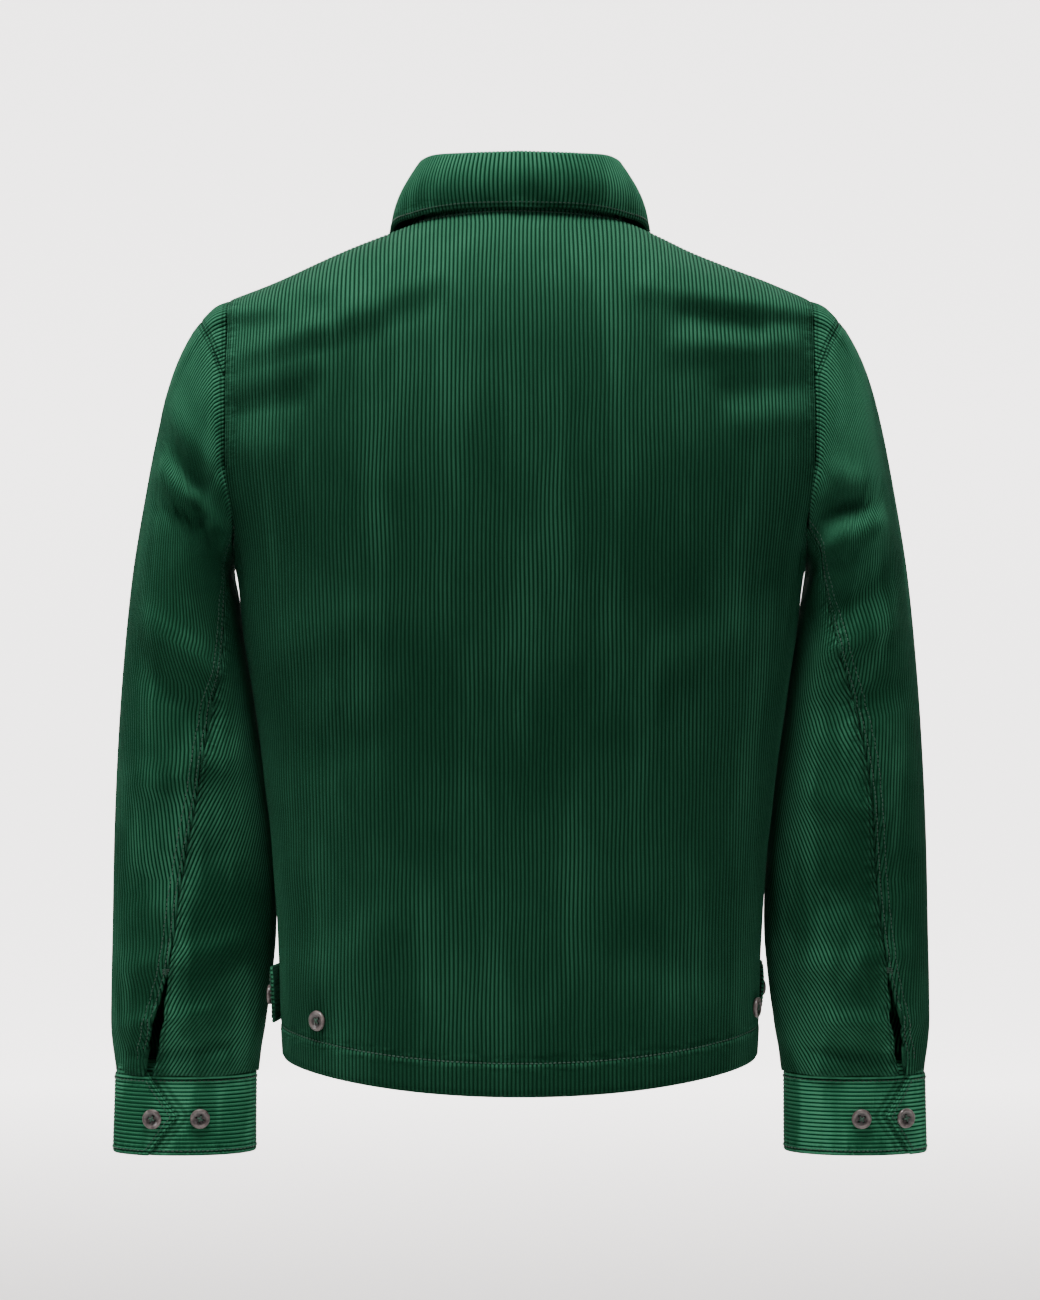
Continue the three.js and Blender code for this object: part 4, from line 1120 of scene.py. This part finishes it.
def corduroy_group():
    """Shader group for the pile of corduroy: colour, roughness and normal from wales and seams.

    A wale's crest is found from the fraction of the uv map across the wales, and the valleys between crests
    have a darker colour as painted shade. Wear makes the pile lighter in clouds and patches and beside seams,
    and a painted highlight makes it lighter where the cloth faces up. Painted shade darkens seams and
    stitches.
    """
    group = bpy.data.node_groups.new("Corduroy pile", "ShaderNodeTree")
    for label, direction, kind in (
            ("Pile", "INPUT", "Color"), ("Valley", "INPUT", "Color"), ("Worn", "INPUT", "Color"),
            ("Wear", "INPUT", "Float"), ("Color", "OUTPUT", "Color"), ("Roughness", "OUTPUT", "Float"),
            ("Normal", "OUTPUT", "Vector")):
        group.interface.new_socket(label, in_out=direction, socket_type=f"NodeSocket{kind}")
    entry = group.nodes.new("NodeGroupInput").outputs
    add, step = node_maker(group)

    def noise(vector, scale, detail):
        """Cloudy noise between zero and one."""
        return add("TexNoise", {"Vector": vector, "Scale": scale, "Detail": detail})["Fac"]

    def stretched(vector, scale):
        """Coordinates times a scale on each axis."""
        return add("Mapping", {"Vector": vector, "Scale": scale})["Vector"]

    def ramp(value, low, high):
        """Zero below low and one above high, with a soft rise between them."""
        limits = {"Value": value, "From Min": low, "From Max": high}
        return add("MapRange", limits, interpolation_type="SMOOTHSTEP")["Result"]

    def fall(value, low, high):
        """One below low and zero above high."""
        return step("SUBTRACT", 1.0, ramp(value, low, high))

    def times(first, second):
        """Two values multiplied."""
        return step("MULTIPLY", first, second)

    def total(*values):
        """A sum of values."""
        result = values[0]
        for value in values[1:]:
            result = step("ADD", result, value)
        return result

    def around(value, middle):
        """A value counted from a middle."""
        return step("SUBTRACT", value, middle)

    def mix(factor, first, second, blend="MIX"):
        """A colour between two others, or one multiplied by the other."""
        inputs = {"Factor": factor, "A": first, "B": second}
        return add("Mix", inputs, data_type="RGBA", blend_type=blend)["Result"]

    uv = add("UVMap", {}, uv_map="wales")["UV"]
    seam = add("Attribute", {}, attribute_name="seam")["Fac"]
    coordinates = add("TexCoord", {})
    position = coordinates["Object"]

    # The crest of each wale, with tufts that make its edge uneven
    centred = step("ABSOLUTE", around(step("FRACT", add("SeparateXYZ", {"Vector": uv})["X"]), 0.5))
    fibre = noise(stretched(uv, (7, 1.6, 1)), 2.2, 4)
    tuft = noise(stretched(uv, (3, 4, 1)), 3.0, 3)
    crest = fall(total(centred, times(around(tuft, 0.5), 0.26)), 0.18, 0.44)

    # Wear of the pile in clouds, patches and beside seams, and a painted highlight where the cloth faces up
    cloud = times(ramp(noise(position, 9.0, 4), 0.38, 0.66), 0.55)
    patch = ramp(noise(stretched(position, (26, 26, 5)), 1.0, 3), 0.45, 0.7)
    # Painted highlight: the pile is lighter where the cloth faces up, for the light from above
    upward_highlight = ramp(add("SeparateXYZ", {"Vector": coordinates["Normal"]})["Z"], -0.04, 0.72)
    pucker = times(around(noise(stretched(uv, (0.16, 0.5, 1)), 1.0, 2), 0.5), fall(seam, 5.0, 13.0))
    wear_and_highlight = total(times(total(cloud, patch), entry["Wear"]), times(fall(seam, 1.2, 7.0), 0.22),
                 times(upward_highlight, 0.7), times(pucker, 0.9))
    streak = times(ramp(fibre, 0.3, 0.75), 0.6)
    light = step("MINIMUM", times(total(wear_and_highlight, times(streak, 0.5)), crest), 1.0)
    # Painted shade: between crests the valley colour is darker, for the shade in the grooves between wales
    color = mix(crest, entry["Valley"], mix(light, entry["Pile"], entry["Worn"]))

    # Painted shade in the groove of a row of stitches and along the rim of every seam, and on a cuff a painted
    # shadow just past its lapped end
    groove = fall(step("ABSOLUTE", around(seam, 3.0)), 0.3, 1.3)
    seam_shade = step("MAXIMUM", times(groove, 0.6), times(fall(seam, 0.2, 1.6), 0.9))
    color = mix(seam_shade, color, (0.35, 0.4, 0.38, 1), "MULTIPLY")

    height = total(times(crest, 0.35), times(fibre, 0.5), times(tuft, 0.8))
    height = total(step("SUBTRACT", height, times(groove, 1.3)), times(pucker, 7.0))
    bump = add("Bump", {"Strength": 0.9, "Distance": 0.0006, "Height": height})["Normal"]
    rough = total(0.86, times(fibre, 0.12))
    leave = group.nodes.new("NodeGroupOutput")
    for label, socket in (("Color", color), ("Roughness", rough), ("Normal", bump)):
        group.links.new(socket, leave.inputs[label])
    return group


def corduroy_material(settings, name, wear, tone, edge):
    """Corduroy finish: the pile group on a matt cloth with a soft sheen, darker by painted shade where it
    turns away.
    """
    material = bpy.data.materials.new(name)
    material.use_nodes = True
    tree = material.node_tree
    add, _ = node_maker(tree)
    colors = {"Pile": settings.pile_color, "Valley": settings.valley_color, "Worn": settings.worn_and_lit_color}
    # Painted light and shade: tone makes this piece's copy of the cloth lighter or darker than the others, so
    # that the cuffs and the collar, which catch the light from above, are lighter than the body
    inputs = {label: (*[value * tone for value in color], 1) for label, color in colors.items()}
    group = bpy.data.node_groups.get("Corduroy pile") or corduroy_group()
    pile = add("Group", {**inputs, "Wear": wear}, node_tree=group)
    # Painted shade: the colour is multiplied towards dark green where the cloth turns away from the view, by
    # up to edge, most on the sleeves
    facing = add("LayerWeight", {"Blend": 0.5})["Facing"]
    turned = add("MapRange", {"Value": facing, "From Min": 0.35, "From Max": 0.95, "To Max": edge})["Result"]
    shade = {"Factor": turned, "A": pile["Color"], "B": (0.12, 0.16, 0.15, 1)}
    color = add("Mix", shade, data_type="RGBA", blend_type="MULTIPLY")["Result"]
    shader = tree.nodes["Principled BSDF"].inputs
    for label, socket in (("Base Color", color), ("Roughness", pile["Roughness"]), ("Normal", pile["Normal"])):
        tree.links.new(socket, shader[label])
    shader["Specular IOR Level"].default_value = 0.04
    shader["Sheen Weight"].default_value = 0.16
    shader["Sheen Roughness"].default_value = 0.35
    shader["Sheen Tint"].default_value = (0.2, 0.75, 0.45, 1)
    return material


class JacketSettings(bpy.types.PropertyGroup):
    """Sizes and colours that a user would change."""

    wale_pitch: bpy.props.FloatProperty(
        name="Wale pitch", description="Distance from one wale to the next", default=0.003,
        unit="LENGTH", precision=5)
    wale_height: bpy.props.FloatProperty(
        name="Wale height", description="Half the height of a wale from valley to crest", default=0.00037,
        unit="LENGTH", precision=5)
    under_lean: bpy.props.FloatProperty(
        name="Under sleeve lean", description="Angle of the wales on the forearm's under part",
        default=math.radians(21), subtype="ANGLE")
    pile_color: bpy.props.FloatVectorProperty(
        name="Pile colour", description="Colour of the crest of a wale", default=(0.003, 0.031, 0.0138),
        subtype="COLOR")
    # Painted shade: the valley colour is darker than the pile, for the shade in the grooves between wales
    valley_color: bpy.props.FloatVectorProperty(
        name="Valley colour", description="Colour between two wales", default=(0.0019, 0.020, 0.0095),
        subtype="COLOR")
    # This colour is used where wear has lightened the pile, and also as the painted highlight where the cloth
    # faces up
    worn_and_lit_color: bpy.props.FloatVectorProperty(
        name="Worn colour", description="Colour of rubbed pile", default=(0.029, 0.128, 0.07),
        subtype="COLOR")


def settings_of(context):
    """The sizes and colours kept with the scene."""
    return context.scene.jacket_settings


class JACKET_OT_body(bpy.types.Operator):
    """Make the back and the two fronts"""

    bl_idname = "jacket.body"
    bl_label = "Back and fronts"

    def execute(self, context):
        settings = settings_of(context)
        material = corduroy_material(settings, "Corduroy body", wear=0.3, tone=0.83, edge=0.3)
        sew_cloth("back", body_panel(settings, "back", 1), material, flat_y=True)
        sew_cloth("left_front", body_panel(settings, "front", 1), material, flat_y=True)
        sew_cloth("right_front", body_panel(settings, "front", -1), material, flat_y=True)
        return {"FINISHED"}


class JACKET_OT_collar(bpy.types.Operator):
    """Make the collar's stand and fall"""

    bl_idname = "jacket.collar"
    bl_label = "Collar"

    def execute(self, context):
        settings = settings_of(context)
        material = corduroy_material(settings, "Corduroy collar", wear=1.05, tone=1.2, edge=0.5)
        for part in ("stand", "fall"):
            sew_cloth(f"collar_{part}", collar_panel(settings, part), material)
        return {"FINISHED"}


class JACKET_OT_sleeves(bpy.types.Operator):
    """Make both sleeves, their heads, cuffs and the hem tabs"""

    bl_idname = "jacket.sleeves"
    bl_label = "Sleeves, cuffs and tabs"

    def execute(self, context):
        settings = settings_of(context)
        material = corduroy_material(settings, "Corduroy sleeve", wear=0.9, tone=1.08, edge=0.9)
        # The cuffs' copy has more wear and a much higher tone: real rubbing, and a painted highlight for the
        # light from above that catches their level wales
        rubbed_and_lit = corduroy_material(settings, "Corduroy cuff", wear=1.5, tone=1.85, edge=0.6)
        for name in ("left", "right"):
            sew_cloth(f"{name}_sleeve_head", sleeve_head_panel(settings, name), material)
            sew_cloth(f"{name}_sleeve_top", sleeve_panel(settings, name, "top"), material)
            sew_cloth(f"{name}_sleeve_under", sleeve_panel(settings, name, "under"), material)
            sew_cloth(f"{name}_cuff", cuff_panel(settings, name), rubbed_and_lit)
            sew_cloth(f"{name}_hem_tab", tab_panel(settings, name), material)
        return {"FINISHED"}


def even_path(points, pitch):
    """Points at an even pitch along a path, with the direction of the path at each."""
    length = run_lengths(points, 0)
    count = max(2, int(length[-1] / pitch))
    at = (np.arange(count) + 0.5) / count * length[-1]
    places, ahead, back = (np.stack([np.interp(at + step, length, points[:, i]) for i in range(3)], axis=1)
                           for step in (0, 0.4, -0.4))
    return places, unit(ahead - back)


def lay_on(obj, points):
    """The nearest places on an object's cloth to a set of points, and the way the cloth faces there."""
    found = [obj.closest_point_on_mesh(point)[1:3] for point in (points * MM).tolist()]
    places = np.array([place for place, _ in found]) / MM
    return places, np.array([facing for _, facing in found])


def stitches(places, directions, facings, length=STITCH_LENGTH, radius=STITCH_RADIUS):
    """Stitches as long beads of four sides, thickest in the middle and nearly closed at both ends.

    Each bead lies along its direction and stands half out of the cloth: its corners lie round its middle
    line by the cosine and the sine of their angle, and the line lies a share of the radius off the cloth.
    """
    along, thick = BEAD
    turn = (np.arange(4) + 0.5) / 2 * math.pi
    facings = unit(facings - directions * np.sum(facings * directions, axis=1, keepdims=True))
    aside = np.cross(directions, facings)
    ring = aside[:, None, None] * np.cos(turn)[None, None, :, None]
    ring = ring + facings[:, None, None] * np.sin(turn)[None, None, :, None]
    middle = places[:, None] + directions[:, None] * (along * length / 2)[None, :, None]
    middle = middle + facings[:, None] * (radius * (0.1 + 0.5 * thick))[None, :, None]
    points = middle[:, :, None] + ring * (1.15 * radius * thick)[None, :, None, None]
    ids = np.arange(points[0].size // 3).reshape(-1, 4)
    bead = np.concatenate([ring_quads(ids), [ids[0], ids[-1, ::-1]]])
    faces = bead[None] + np.arange(len(places))[:, None, None] * ids.size
    return points.reshape(-1, 3), faces.reshape(-1, 4)


def ring_quads(ids):
    """Faces between each closed ring of points and the next."""
    after = np.roll(ids, -1, axis=1)
    return np.stack([ids[:-1], ids[1:], after[1:], after[:-1]], axis=-1).reshape(-1, 4)


def join(parts):
    """Several sets of points and faces as one."""
    points = np.concatenate([part[0] for part in parts])
    starts = np.cumsum([0] + [len(part[0]) for part in parts[:-1]])
    return points, np.concatenate([part[1] + start for part, start in zip(parts, starts)])


def thread_object(name, parts, material):
    """An object of thread, from several sets of points and faces."""
    obj = mesh_object(name, quad_mesh(name, *join(parts)), material)


def sewn_row(obj, path, pitch):
    """A row of stitches along a path, laid on an object's cloth."""
    places, directions = even_path(path, pitch)
    laid, facings = lay_on(obj, places)
    return stitches(laid, directions, facings)


def armhole_path(face, inset):
    """A line beside the armhole's seam, on the body."""
    wanted = ARMHOLE[ARMHOLE[:, 0] * (1 if face == "back" else -1) > 0]
    path = wanted[np.argsort(np.abs(wanted[:, 0]))][:, 1:]
    low = np.clip((ARMHOLE_TURN - path[:, 2]) / (ARMHOLE_TURN - ARMPIT), 0, 1)[:, None]
    shift = np.array([-inset, 0, 0]) * (1 - low) + np.array([-inset * 0.2, 0, -inset]) * low
    return path + shift


def sleeve_path(settings, name, inset):
    """A line beside the back seam of a sleeve, on its top part."""
    t = np.linspace(0, 1, 400)
    back = seam_lines(settings, name, t)[0]
    chosen = (t > 0.015) & (t < 0.985)
    t, back = t[chosen], back[chosen]
    angle = SLEEVE_GIRTHS[name].angle(back - vent_opening(t) - inset, t)
    return sleeve_point(name, t, angle)


def tack_path(name, down):
    """A short line across the top of the vent of a sleeve."""
    girth = SLEEVE_GIRTHS[name]
    t = np.full(20, VENT_TOP - 0.004 + down)
    middle = girth.distance(smooth(SLEEVE_SEAMS, name, t), t)
    angle = girth.angle(middle + np.linspace(-4, 3, 20), t)
    return sleeve_point(name, t, angle)


def hem_path(face, low, high):
    """A line along the top of the turned hem of one face of the body."""
    x = np.linspace(low, high, 400)
    z = hem_height(x) + HEM_TURN
    y = body_depth(face, x, z) * (1 if face == "back" else -1)
    return np.stack([x, y, z], axis=1)


def cuff_paths(name):
    """Lines along both edges of a cuff and round its pointed end."""
    turn = np.linspace(CUFF_UNDER_END + 8, 360 + CUFF_PLACES[name]["point"] - 6, 300)
    for down in (EDGE_ROW, CUFF_HEIGHT - EDGE_ROW):
        row = turn[turn < cuff_end(name, down) - 5]
        yield cuff_point(row, np.full_like(row, down), cuff_lap(row) + 1)
    down = np.linspace(EDGE_ROW, CUFF_HEIGHT - EDGE_ROW, 60)
    ends = cuff_end(name, down) - 5
    yield cuff_point(ends, down, cuff_lap(ends) + 1)


def tab_paths(name):
    """Lines along both edges of a tab and round its end."""
    along = np.linspace(0.02, 0.93, 80)
    for across in (-0.82, 0.82):
        yield tab_point(name, across, along)
    yield tab_point(name, np.linspace(-0.8, 0.8, 40), 0.95)


def collar_paths():
    """Lines along the edge of the collar's fall and along both its ends."""
    angles = np.linspace(-COLLAR_END + 2, COLLAR_END - 2, 600)
    _, fold, edge = collar_rows(angles)
    share = 1 - EDGE_ROW / np.linalg.norm(edge - fold, axis=1)[:, None]
    yield fall_point(fold, edge, share) + unit(edge * np.array([1, 1, 0]))
    share = np.linspace(0.12, 1 - EDGE_ROW / 80, 60)[:, None]
    for end in (4, -5):
        yield fold[end] * (1 - share) + edge[end] * share


def body_paths():
    """Lines under the neck seam, behind the shoulder seams, round the hem and down the left front's edge,
    each after the piece that it is sewn on."""
    x = np.linspace(-NECK_HALF - 4, NECK_HALF + 4, 300)
    z = column_top("back", x)[1] - 3.2
    yield "back", np.stack([x, body_depth("back", x, z) + 1, z], axis=1)
    x = np.linspace(NECK_HALF + 2, ARMHOLE_X - 3, 200)
    ridge = np.stack([x, np.full_like(x, 5.0), column_top("back", x)[0] - 0.5], axis=1)
    for name in ("right", "left"):
        yield "back", mirrored(ridge, name)
    side = float(half_width(np.array(HEM_BACK))) - 1
    yield "back", hem_path("back", -side, side)
    yield "left_front", hem_path("front", -FRONT_LAP + 3, side)
    yield "right_front", hem_path("front", -side, -FRONT_LAP - 4)
    z = np.linspace(HEM_BACK + 3, FRONT_ROW_TOP, 300)
    x = np.full_like(z, -FRONT_LAP + EDGE_ROW)
    yield "left_front", np.stack([x, -body_depth("front", x, z), z], axis=1)


def sleeve_paths(settings, name):
    """Lines of one side: the armhole, the back seam, the tacks, the cuff and the tab, each after its piece
    and its pitch."""
    for face, panel in (("back", "back"), ("front", f"{name}_front")):
        yield panel, STITCH_PITCH, armhole_path(face, EDGE_ROW)
    for inset in SLEEVE_ROW_INSETS:
        yield f"{name}_sleeve_top", STITCH_PITCH, sleeve_path(settings, name, inset)
    for down in TACK_DROPS:
        yield f"{name}_sleeve_top", TACK_PITCH, tack_path(name, down)
    for path in cuff_paths(name):
        yield f"{name}_cuff", STITCH_PITCH, path
    for path in tab_paths(name):
        yield f"{name}_hem_tab", STITCH_PITCH, path


def button_mesh(point, facing, tilt):
    """A four hole button: a dished face inside a raised rim, and a flat underside.

    The height follows the distance from the centre, and drops inside each of the four holes.
    """
    turn = np.arange(56) / 56 * 2 * math.pi
    far = np.concatenate([BUTTON_RINGS, BUTTON_UNDER[0]])[:, None]
    x, y = far * np.cos(turn), far * np.sin(turn)
    from_hole = np.hypot(np.abs(x) - HOLE_PLACE, np.abs(y) - HOLE_PLACE)
    hole = 1.5 * (1 - ease(from_hole, HOLE_RADIUS * 0.6, HOLE_RADIUS * 1.15))
    z = np.interp(far, *BUTTON_PROFILE) - hole
    z[len(BUTTON_RINGS):] = BUTTON_UNDER[1][:, None]
    facing = unit(np.asarray(facing, dtype=float))
    aside = unit(np.cross([0, 0, 1], facing))
    first = aside * math.cos(tilt) + np.cross(facing, aside) * math.sin(tilt)
    second = np.cross(facing, first)
    base = np.asarray(point) + facing * BUTTON_SEAT
    local = np.stack([x, y, z], axis=2) @ np.stack([first, second, facing])
    bars = np.array([[1, 1], [1, -1]]) / math.sqrt(2)
    directions = bars[:, :1] * first + bars[:, 1:] * second
    middle = np.repeat(base[None] + facing * 2.05, 2, axis=0)
    cross = stitches(middle, directions, np.repeat(facing[None], 2, axis=0), 5.6, 0.62)
    outward = np.hypot(x, y).ravel() / BUTTON_RADIUS
    return local.reshape(-1, 3) + base, ring_quads(np.arange(x.size).reshape(x.shape)), outward, cross


def body_button(face, x, z):
    """Where a button sits on the body, and which way it faces there."""
    sign = 1 if face == "back" else -1
    around = np.array([0, BUTTON_STEP, -BUTTON_STEP, 0, 0])
    depth = body_depth(face, x + around, z + np.roll(around, 2))
    return np.array([x, sign * depth[0], z]), np.array([depth[2] - depth[1], sign, depth[4] - depth[3]])


def cuff_button(name, key):
    """Where a button sits on a cuff, and which way it faces there."""
    lap = CUFF_LAP if key == "lap" else 0
    angle = CUFF_PLACES[name][key]
    side = 1 if name == "left" else -1
    place = cuff_point(angle, CUFF_BUTTON_DROP, lap)
    ahead = cuff_point(angle + 1, CUFF_BUTTON_DROP, lap) - cuff_point(angle - 1, CUFF_BUTTON_DROP, lap)
    return place * np.array([side, 1, 1]), np.array([side * ahead[1], -ahead[0], 0])


def tab_button(name):
    """Where the button sits on a tab, and which way it faces there."""
    side = 1 if name == "left" else -1
    place = tab_point(name, 0.0, TAB_BUTTON_PLACE)
    ahead = tab_point(name, 0.0, TAB_BUTTON_PLACE + 0.05) - place
    facing = np.cross(ahead, [0, 0, 1])
    return place * np.array([side, 1, 1]), facing * np.array([side, 1, 1])


def horn_material():
    """Polished horn: two tones in soft clouds, with a thin clear coat."""
    material = bpy.data.materials.new("Horn button")
    material.use_nodes = True
    nodes, links = material.node_tree.nodes, material.node_tree.links
    shader = nodes["Principled BSDF"]
    place = nodes.new("ShaderNodeTexCoord")
    cloud = nodes.new("ShaderNodeTexNoise")
    cloud.inputs["Scale"].default_value = 260
    cloud.inputs["Detail"].default_value = 3
    tone = nodes.new("ShaderNodeValToRGB")
    tone.color_ramp.elements[0].position = 0.36
    tone.color_ramp.elements[0].color = (0.045, 0.032, 0.033, 1)
    tone.color_ramp.elements[1].position = 0.66
    tone.color_ramp.elements[1].color = (0.13, 0.105, 0.1, 1)
    links.new(place.outputs["Object"], cloud.inputs["Vector"])
    links.new(cloud.outputs["Fac"], tone.inputs["Fac"])
    outward = nodes.new("ShaderNodeAttribute")
    outward.attribute_name = "outward"
    dish = nodes.new("ShaderNodeMapRange")
    dish.interpolation_type = "SMOOTHSTEP"
    dish.inputs["From Min"].default_value = 0.5
    dish.inputs["From Max"].default_value = 0.76
    dish.inputs["To Min"].default_value = 0.25
    dish.inputs["To Max"].default_value = 1.0
    shade = nodes.new("ShaderNodeVectorMath")
    shade.operation = "SCALE"
    links.new(outward.outputs["Fac"], dish.inputs["Value"])
    links.new(tone.outputs["Color"], shade.inputs["Vector"])
    links.new(dish.outputs["Result"], shade.inputs["Scale"])
    links.new(shade.outputs["Vector"], shader.inputs["Base Color"])
    shader.inputs["Roughness"].default_value = 0.3
    shader.inputs["Coat Weight"].default_value = 0.3
    return material


def plain_material(name, color, roughness):
    """A plain matt finish for the stage."""
    material = bpy.data.materials.new(name)
    material.use_nodes = True
    shader = material.node_tree.nodes["Principled BSDF"]
    shader.inputs["Base Color"].default_value = (*color, 1)
    shader.inputs["Roughness"].default_value = roughness
    return material


class JACKET_OT_stitches(bpy.types.Operator):
    """Sew the rows of stitches on the cloth"""

    bl_idname = "jacket.stitches"
    bl_label = "Stitches"

    def execute(self, context):
        settings = settings_of(context)
        thread = plain_material("Thread", (0.009, 0.048, 0.027), 0.55)
        context.view_layer.update()
        lines = [("collar_fall", STITCH_PITCH, path) for path in collar_paths()]
        lines += [(node, STITCH_PITCH, path) for node, path in body_paths()]
        for name in ("left", "right"):
            side = sleeve_paths(settings, name)
            lines += [(node, pitch, mirrored(path, name)) for node, pitch, path in side]
        rows = [sewn_row(bpy.data.objects[f"cloth_{node}"], path, pitch) for node, pitch, path in lines]
        thread_object("stitches", rows, thread)
        return {"FINISHED"}


class JACKET_OT_buttons(bpy.types.Operator):
    """Make the buttons and their threads"""

    bl_idname = "jacket.buttons"
    bl_label = "Buttons"

    def execute(self, context):
        horn = horn_material()
        thread = plain_material("Button thread", (0.012, 0.05, 0.03), 0.6)
        places = {}
        for name in ("left", "right"):
            places[f"{name}_cuff_button"] = cuff_button(name, "lap")
            places[f"{name}_cuff_spare_button"] = cuff_button(name, "spare")
            places[f"{name}_hem_button"] = body_button("back", *HEM_BUTTONS[name])
            places[f"{name}_tab_button"] = tab_button(name)
        heights = np.linspace(FRONT_BUTTON_TOP, FRONT_BUTTON_BOTTOM, FRONT_BUTTONS)
        for i, z in enumerate(heights):
            places[f"front_button_{i + 1}"] = body_button("front", 0.0, float(z))
        draws = np.random.default_rng(5)
        threads = []
        for node, (point, facing) in places.items():
            points, faces, outward, cross = button_mesh(point, facing, draws.uniform(-0.6, 0.6))
            mesh = quad_mesh(f"horn_{node}", points, faces)
            mesh.attributes.new("outward", "FLOAT", "POINT").data.foreach_set("value", outward)
            obj = mesh_object(f"horn_{node}", mesh, horn)
            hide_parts(node)
            threads.append(cross)
        thread_object("button_threads", threads, thread)
        return {"FINISHED"}


def stage_material():
    """A pale matt finish that glows a little on the backdrop, and not on the floor."""
    material = plain_material("Pale stage", (0.8, 0.78, 0.77), 0.95)
    nodes, links = material.node_tree.nodes, material.node_tree.links
    place = nodes.new("ShaderNodeTexCoord")
    split = nodes.new("ShaderNodeSeparateXYZ")
    behind = nodes.new("ShaderNodeMapRange")
    behind.inputs["From Min"].default_value = GLOW_START
    behind.inputs["From Max"].default_value = GLOW_END
    glow = nodes.new("ShaderNodeMix")
    glow.data_type = "RGBA"
    glow.inputs["A"].default_value = (0, 0, 0, 1)
    glow.inputs["B"].default_value = (1, 0.965, 0.955, 1)
    shader = nodes["Principled BSDF"]
    links.new(place.outputs["Object"], split.inputs["Vector"])
    links.new(split.outputs["Y"], behind.inputs["Value"])
    links.new(behind.outputs["Result"], glow.inputs["Factor"])
    links.new(glow.outputs["Result"], shader.inputs["Emission Color"])
    shader.inputs["Emission Strength"].default_value = GLOW
    return material


def area_light(name, place, size, power, color):
    """A soft square lamp that faces the middle of the jacket."""
    light = bpy.data.lights.new(name, "AREA")
    light.shape = "SQUARE"
    light.size = size
    light.energy = power
    light.color = color
    obj = bpy.data.objects.new(name, light)
    bpy.context.scene.collection.objects.link(obj)
    x, y, z = place
    aim = np.array([0.0, 0.0, CAMERA_Z]) - np.array(place)
    flat = math.hypot(aim[0], aim[1])
    obj.location = (x, y, z)
    obj.rotation_euler = (math.pi / 2 + math.atan2(aim[2], flat), 0, math.atan2(-aim[0], aim[1]))
    return obj


class JACKET_OT_stage(bpy.types.Operator):
    """Make the floor, the backdrop, the lights and the camera"""

    bl_idname = "jacket.stage"
    bl_label = "Stage"

    def execute(self, context):
        bend = np.linspace(0, math.pi / 2, 17)
        y = np.concatenate([[STAGE_FRONT], STAGE_WALL + STAGE_BEND * (1 - np.sin(bend)), [STAGE_WALL]])
        z = np.concatenate([[STAGE_FLOOR], STAGE_FLOOR + STAGE_BEND * (1 - np.cos(bend)), [STAGE_TOP]])
        x = np.array([-STAGE_HALF, STAGE_HALF])
        grid = np.stack(np.broadcast_arrays(x[None, :], y[:, None], z[:, None]), axis=2)
        ids = np.arange(len(y) * 2).reshape(-1, 2)
        faces = np.stack([ids[1:, 0], ids[1:, 1], ids[:-1, 1], ids[:-1, 0]], axis=1)
        mesh = quad_mesh("sweep", grid.reshape(-1, 3), faces)
        sweep = bpy.data.objects.new("sweep", mesh)
        context.scene.collection.objects.link(sweep)
        mesh.materials.append(stage_material())
        area_light("Key", (0.25, 0.85, 2.1), 0.9, 150, (1, 0.985, 0.97))
        area_light("Fill", (-1.4, 2.2, -0.1), 1.4, 9, (0.97, 0.98, 1))
        area_light("Side", (2.2, 0.6, 0.3), 1.0, 16, (1, 1, 1))
        world = bpy.data.worlds.new("Studio")
        world.use_nodes = True
        world.node_tree.nodes["Background"].inputs["Color"].default_value = (0.93, 0.92, 0.915, 1)
        world.node_tree.nodes["Background"].inputs["Strength"].default_value = 0.22
        context.scene.world = world
        camera = bpy.data.cameras.new("Camera")
        camera.sensor_width = 36
        camera.lens = LENS
        camera.clip_end = 50
        obj = bpy.data.objects.new("Camera", camera)
        obj.location = (0, CAMERA_Y, CAMERA_Z)
        obj.rotation_euler = (math.pi / 2, 0, math.pi)
        context.scene.collection.objects.link(obj)
        context.scene.camera = obj
        return {"FINISHED"}


class JACKET_PT_panel(bpy.types.Panel):
    """Lists the steps that make the jacket"""

    bl_idname = "JACKET_PT_panel"
    bl_label = "Jacket"
    bl_space_type = "VIEW_3D"
    bl_region_type = "UI"
    bl_category = "Jacket"

    def draw(self, context):
        """Show every setting and a button for every operator."""
        settings = settings_of(context)
        for name in settings.bl_rna.properties.keys():
            if name not in ("rna_type", "name"):
                self.layout.prop(settings, name)
        for operator in OPERATORS:
            self.layout.operator(operator.bl_idname)


OPERATORS = (JACKET_OT_stage, JACKET_OT_body, JACKET_OT_collar, JACKET_OT_sleeves, JACKET_OT_stitches,
             JACKET_OT_buttons)
CLASSES = (JacketSettings, *OPERATORS, JACKET_PT_panel)


def register():
    """Add the settings, the operators and the panel."""
    for cls in CLASSES:
        bpy.utils.register_class(cls)
    bpy.types.Scene.jacket_settings = bpy.props.PointerProperty(type=JacketSettings)


def unregister():
    """Take them all away again."""
    del bpy.types.Scene.jacket_settings
    for cls in reversed(CLASSES):
        bpy.utils.unregister_class(cls)


def main():
    """Make the whole scene."""
    register()
    bpy.ops.jacket.stage()
    bpy.ops.jacket.body()
    bpy.ops.jacket.collar()
    bpy.ops.jacket.sleeves()
    bpy.ops.jacket.stitches()
    bpy.ops.jacket.buttons()


if __name__ == "__main__":
    main()
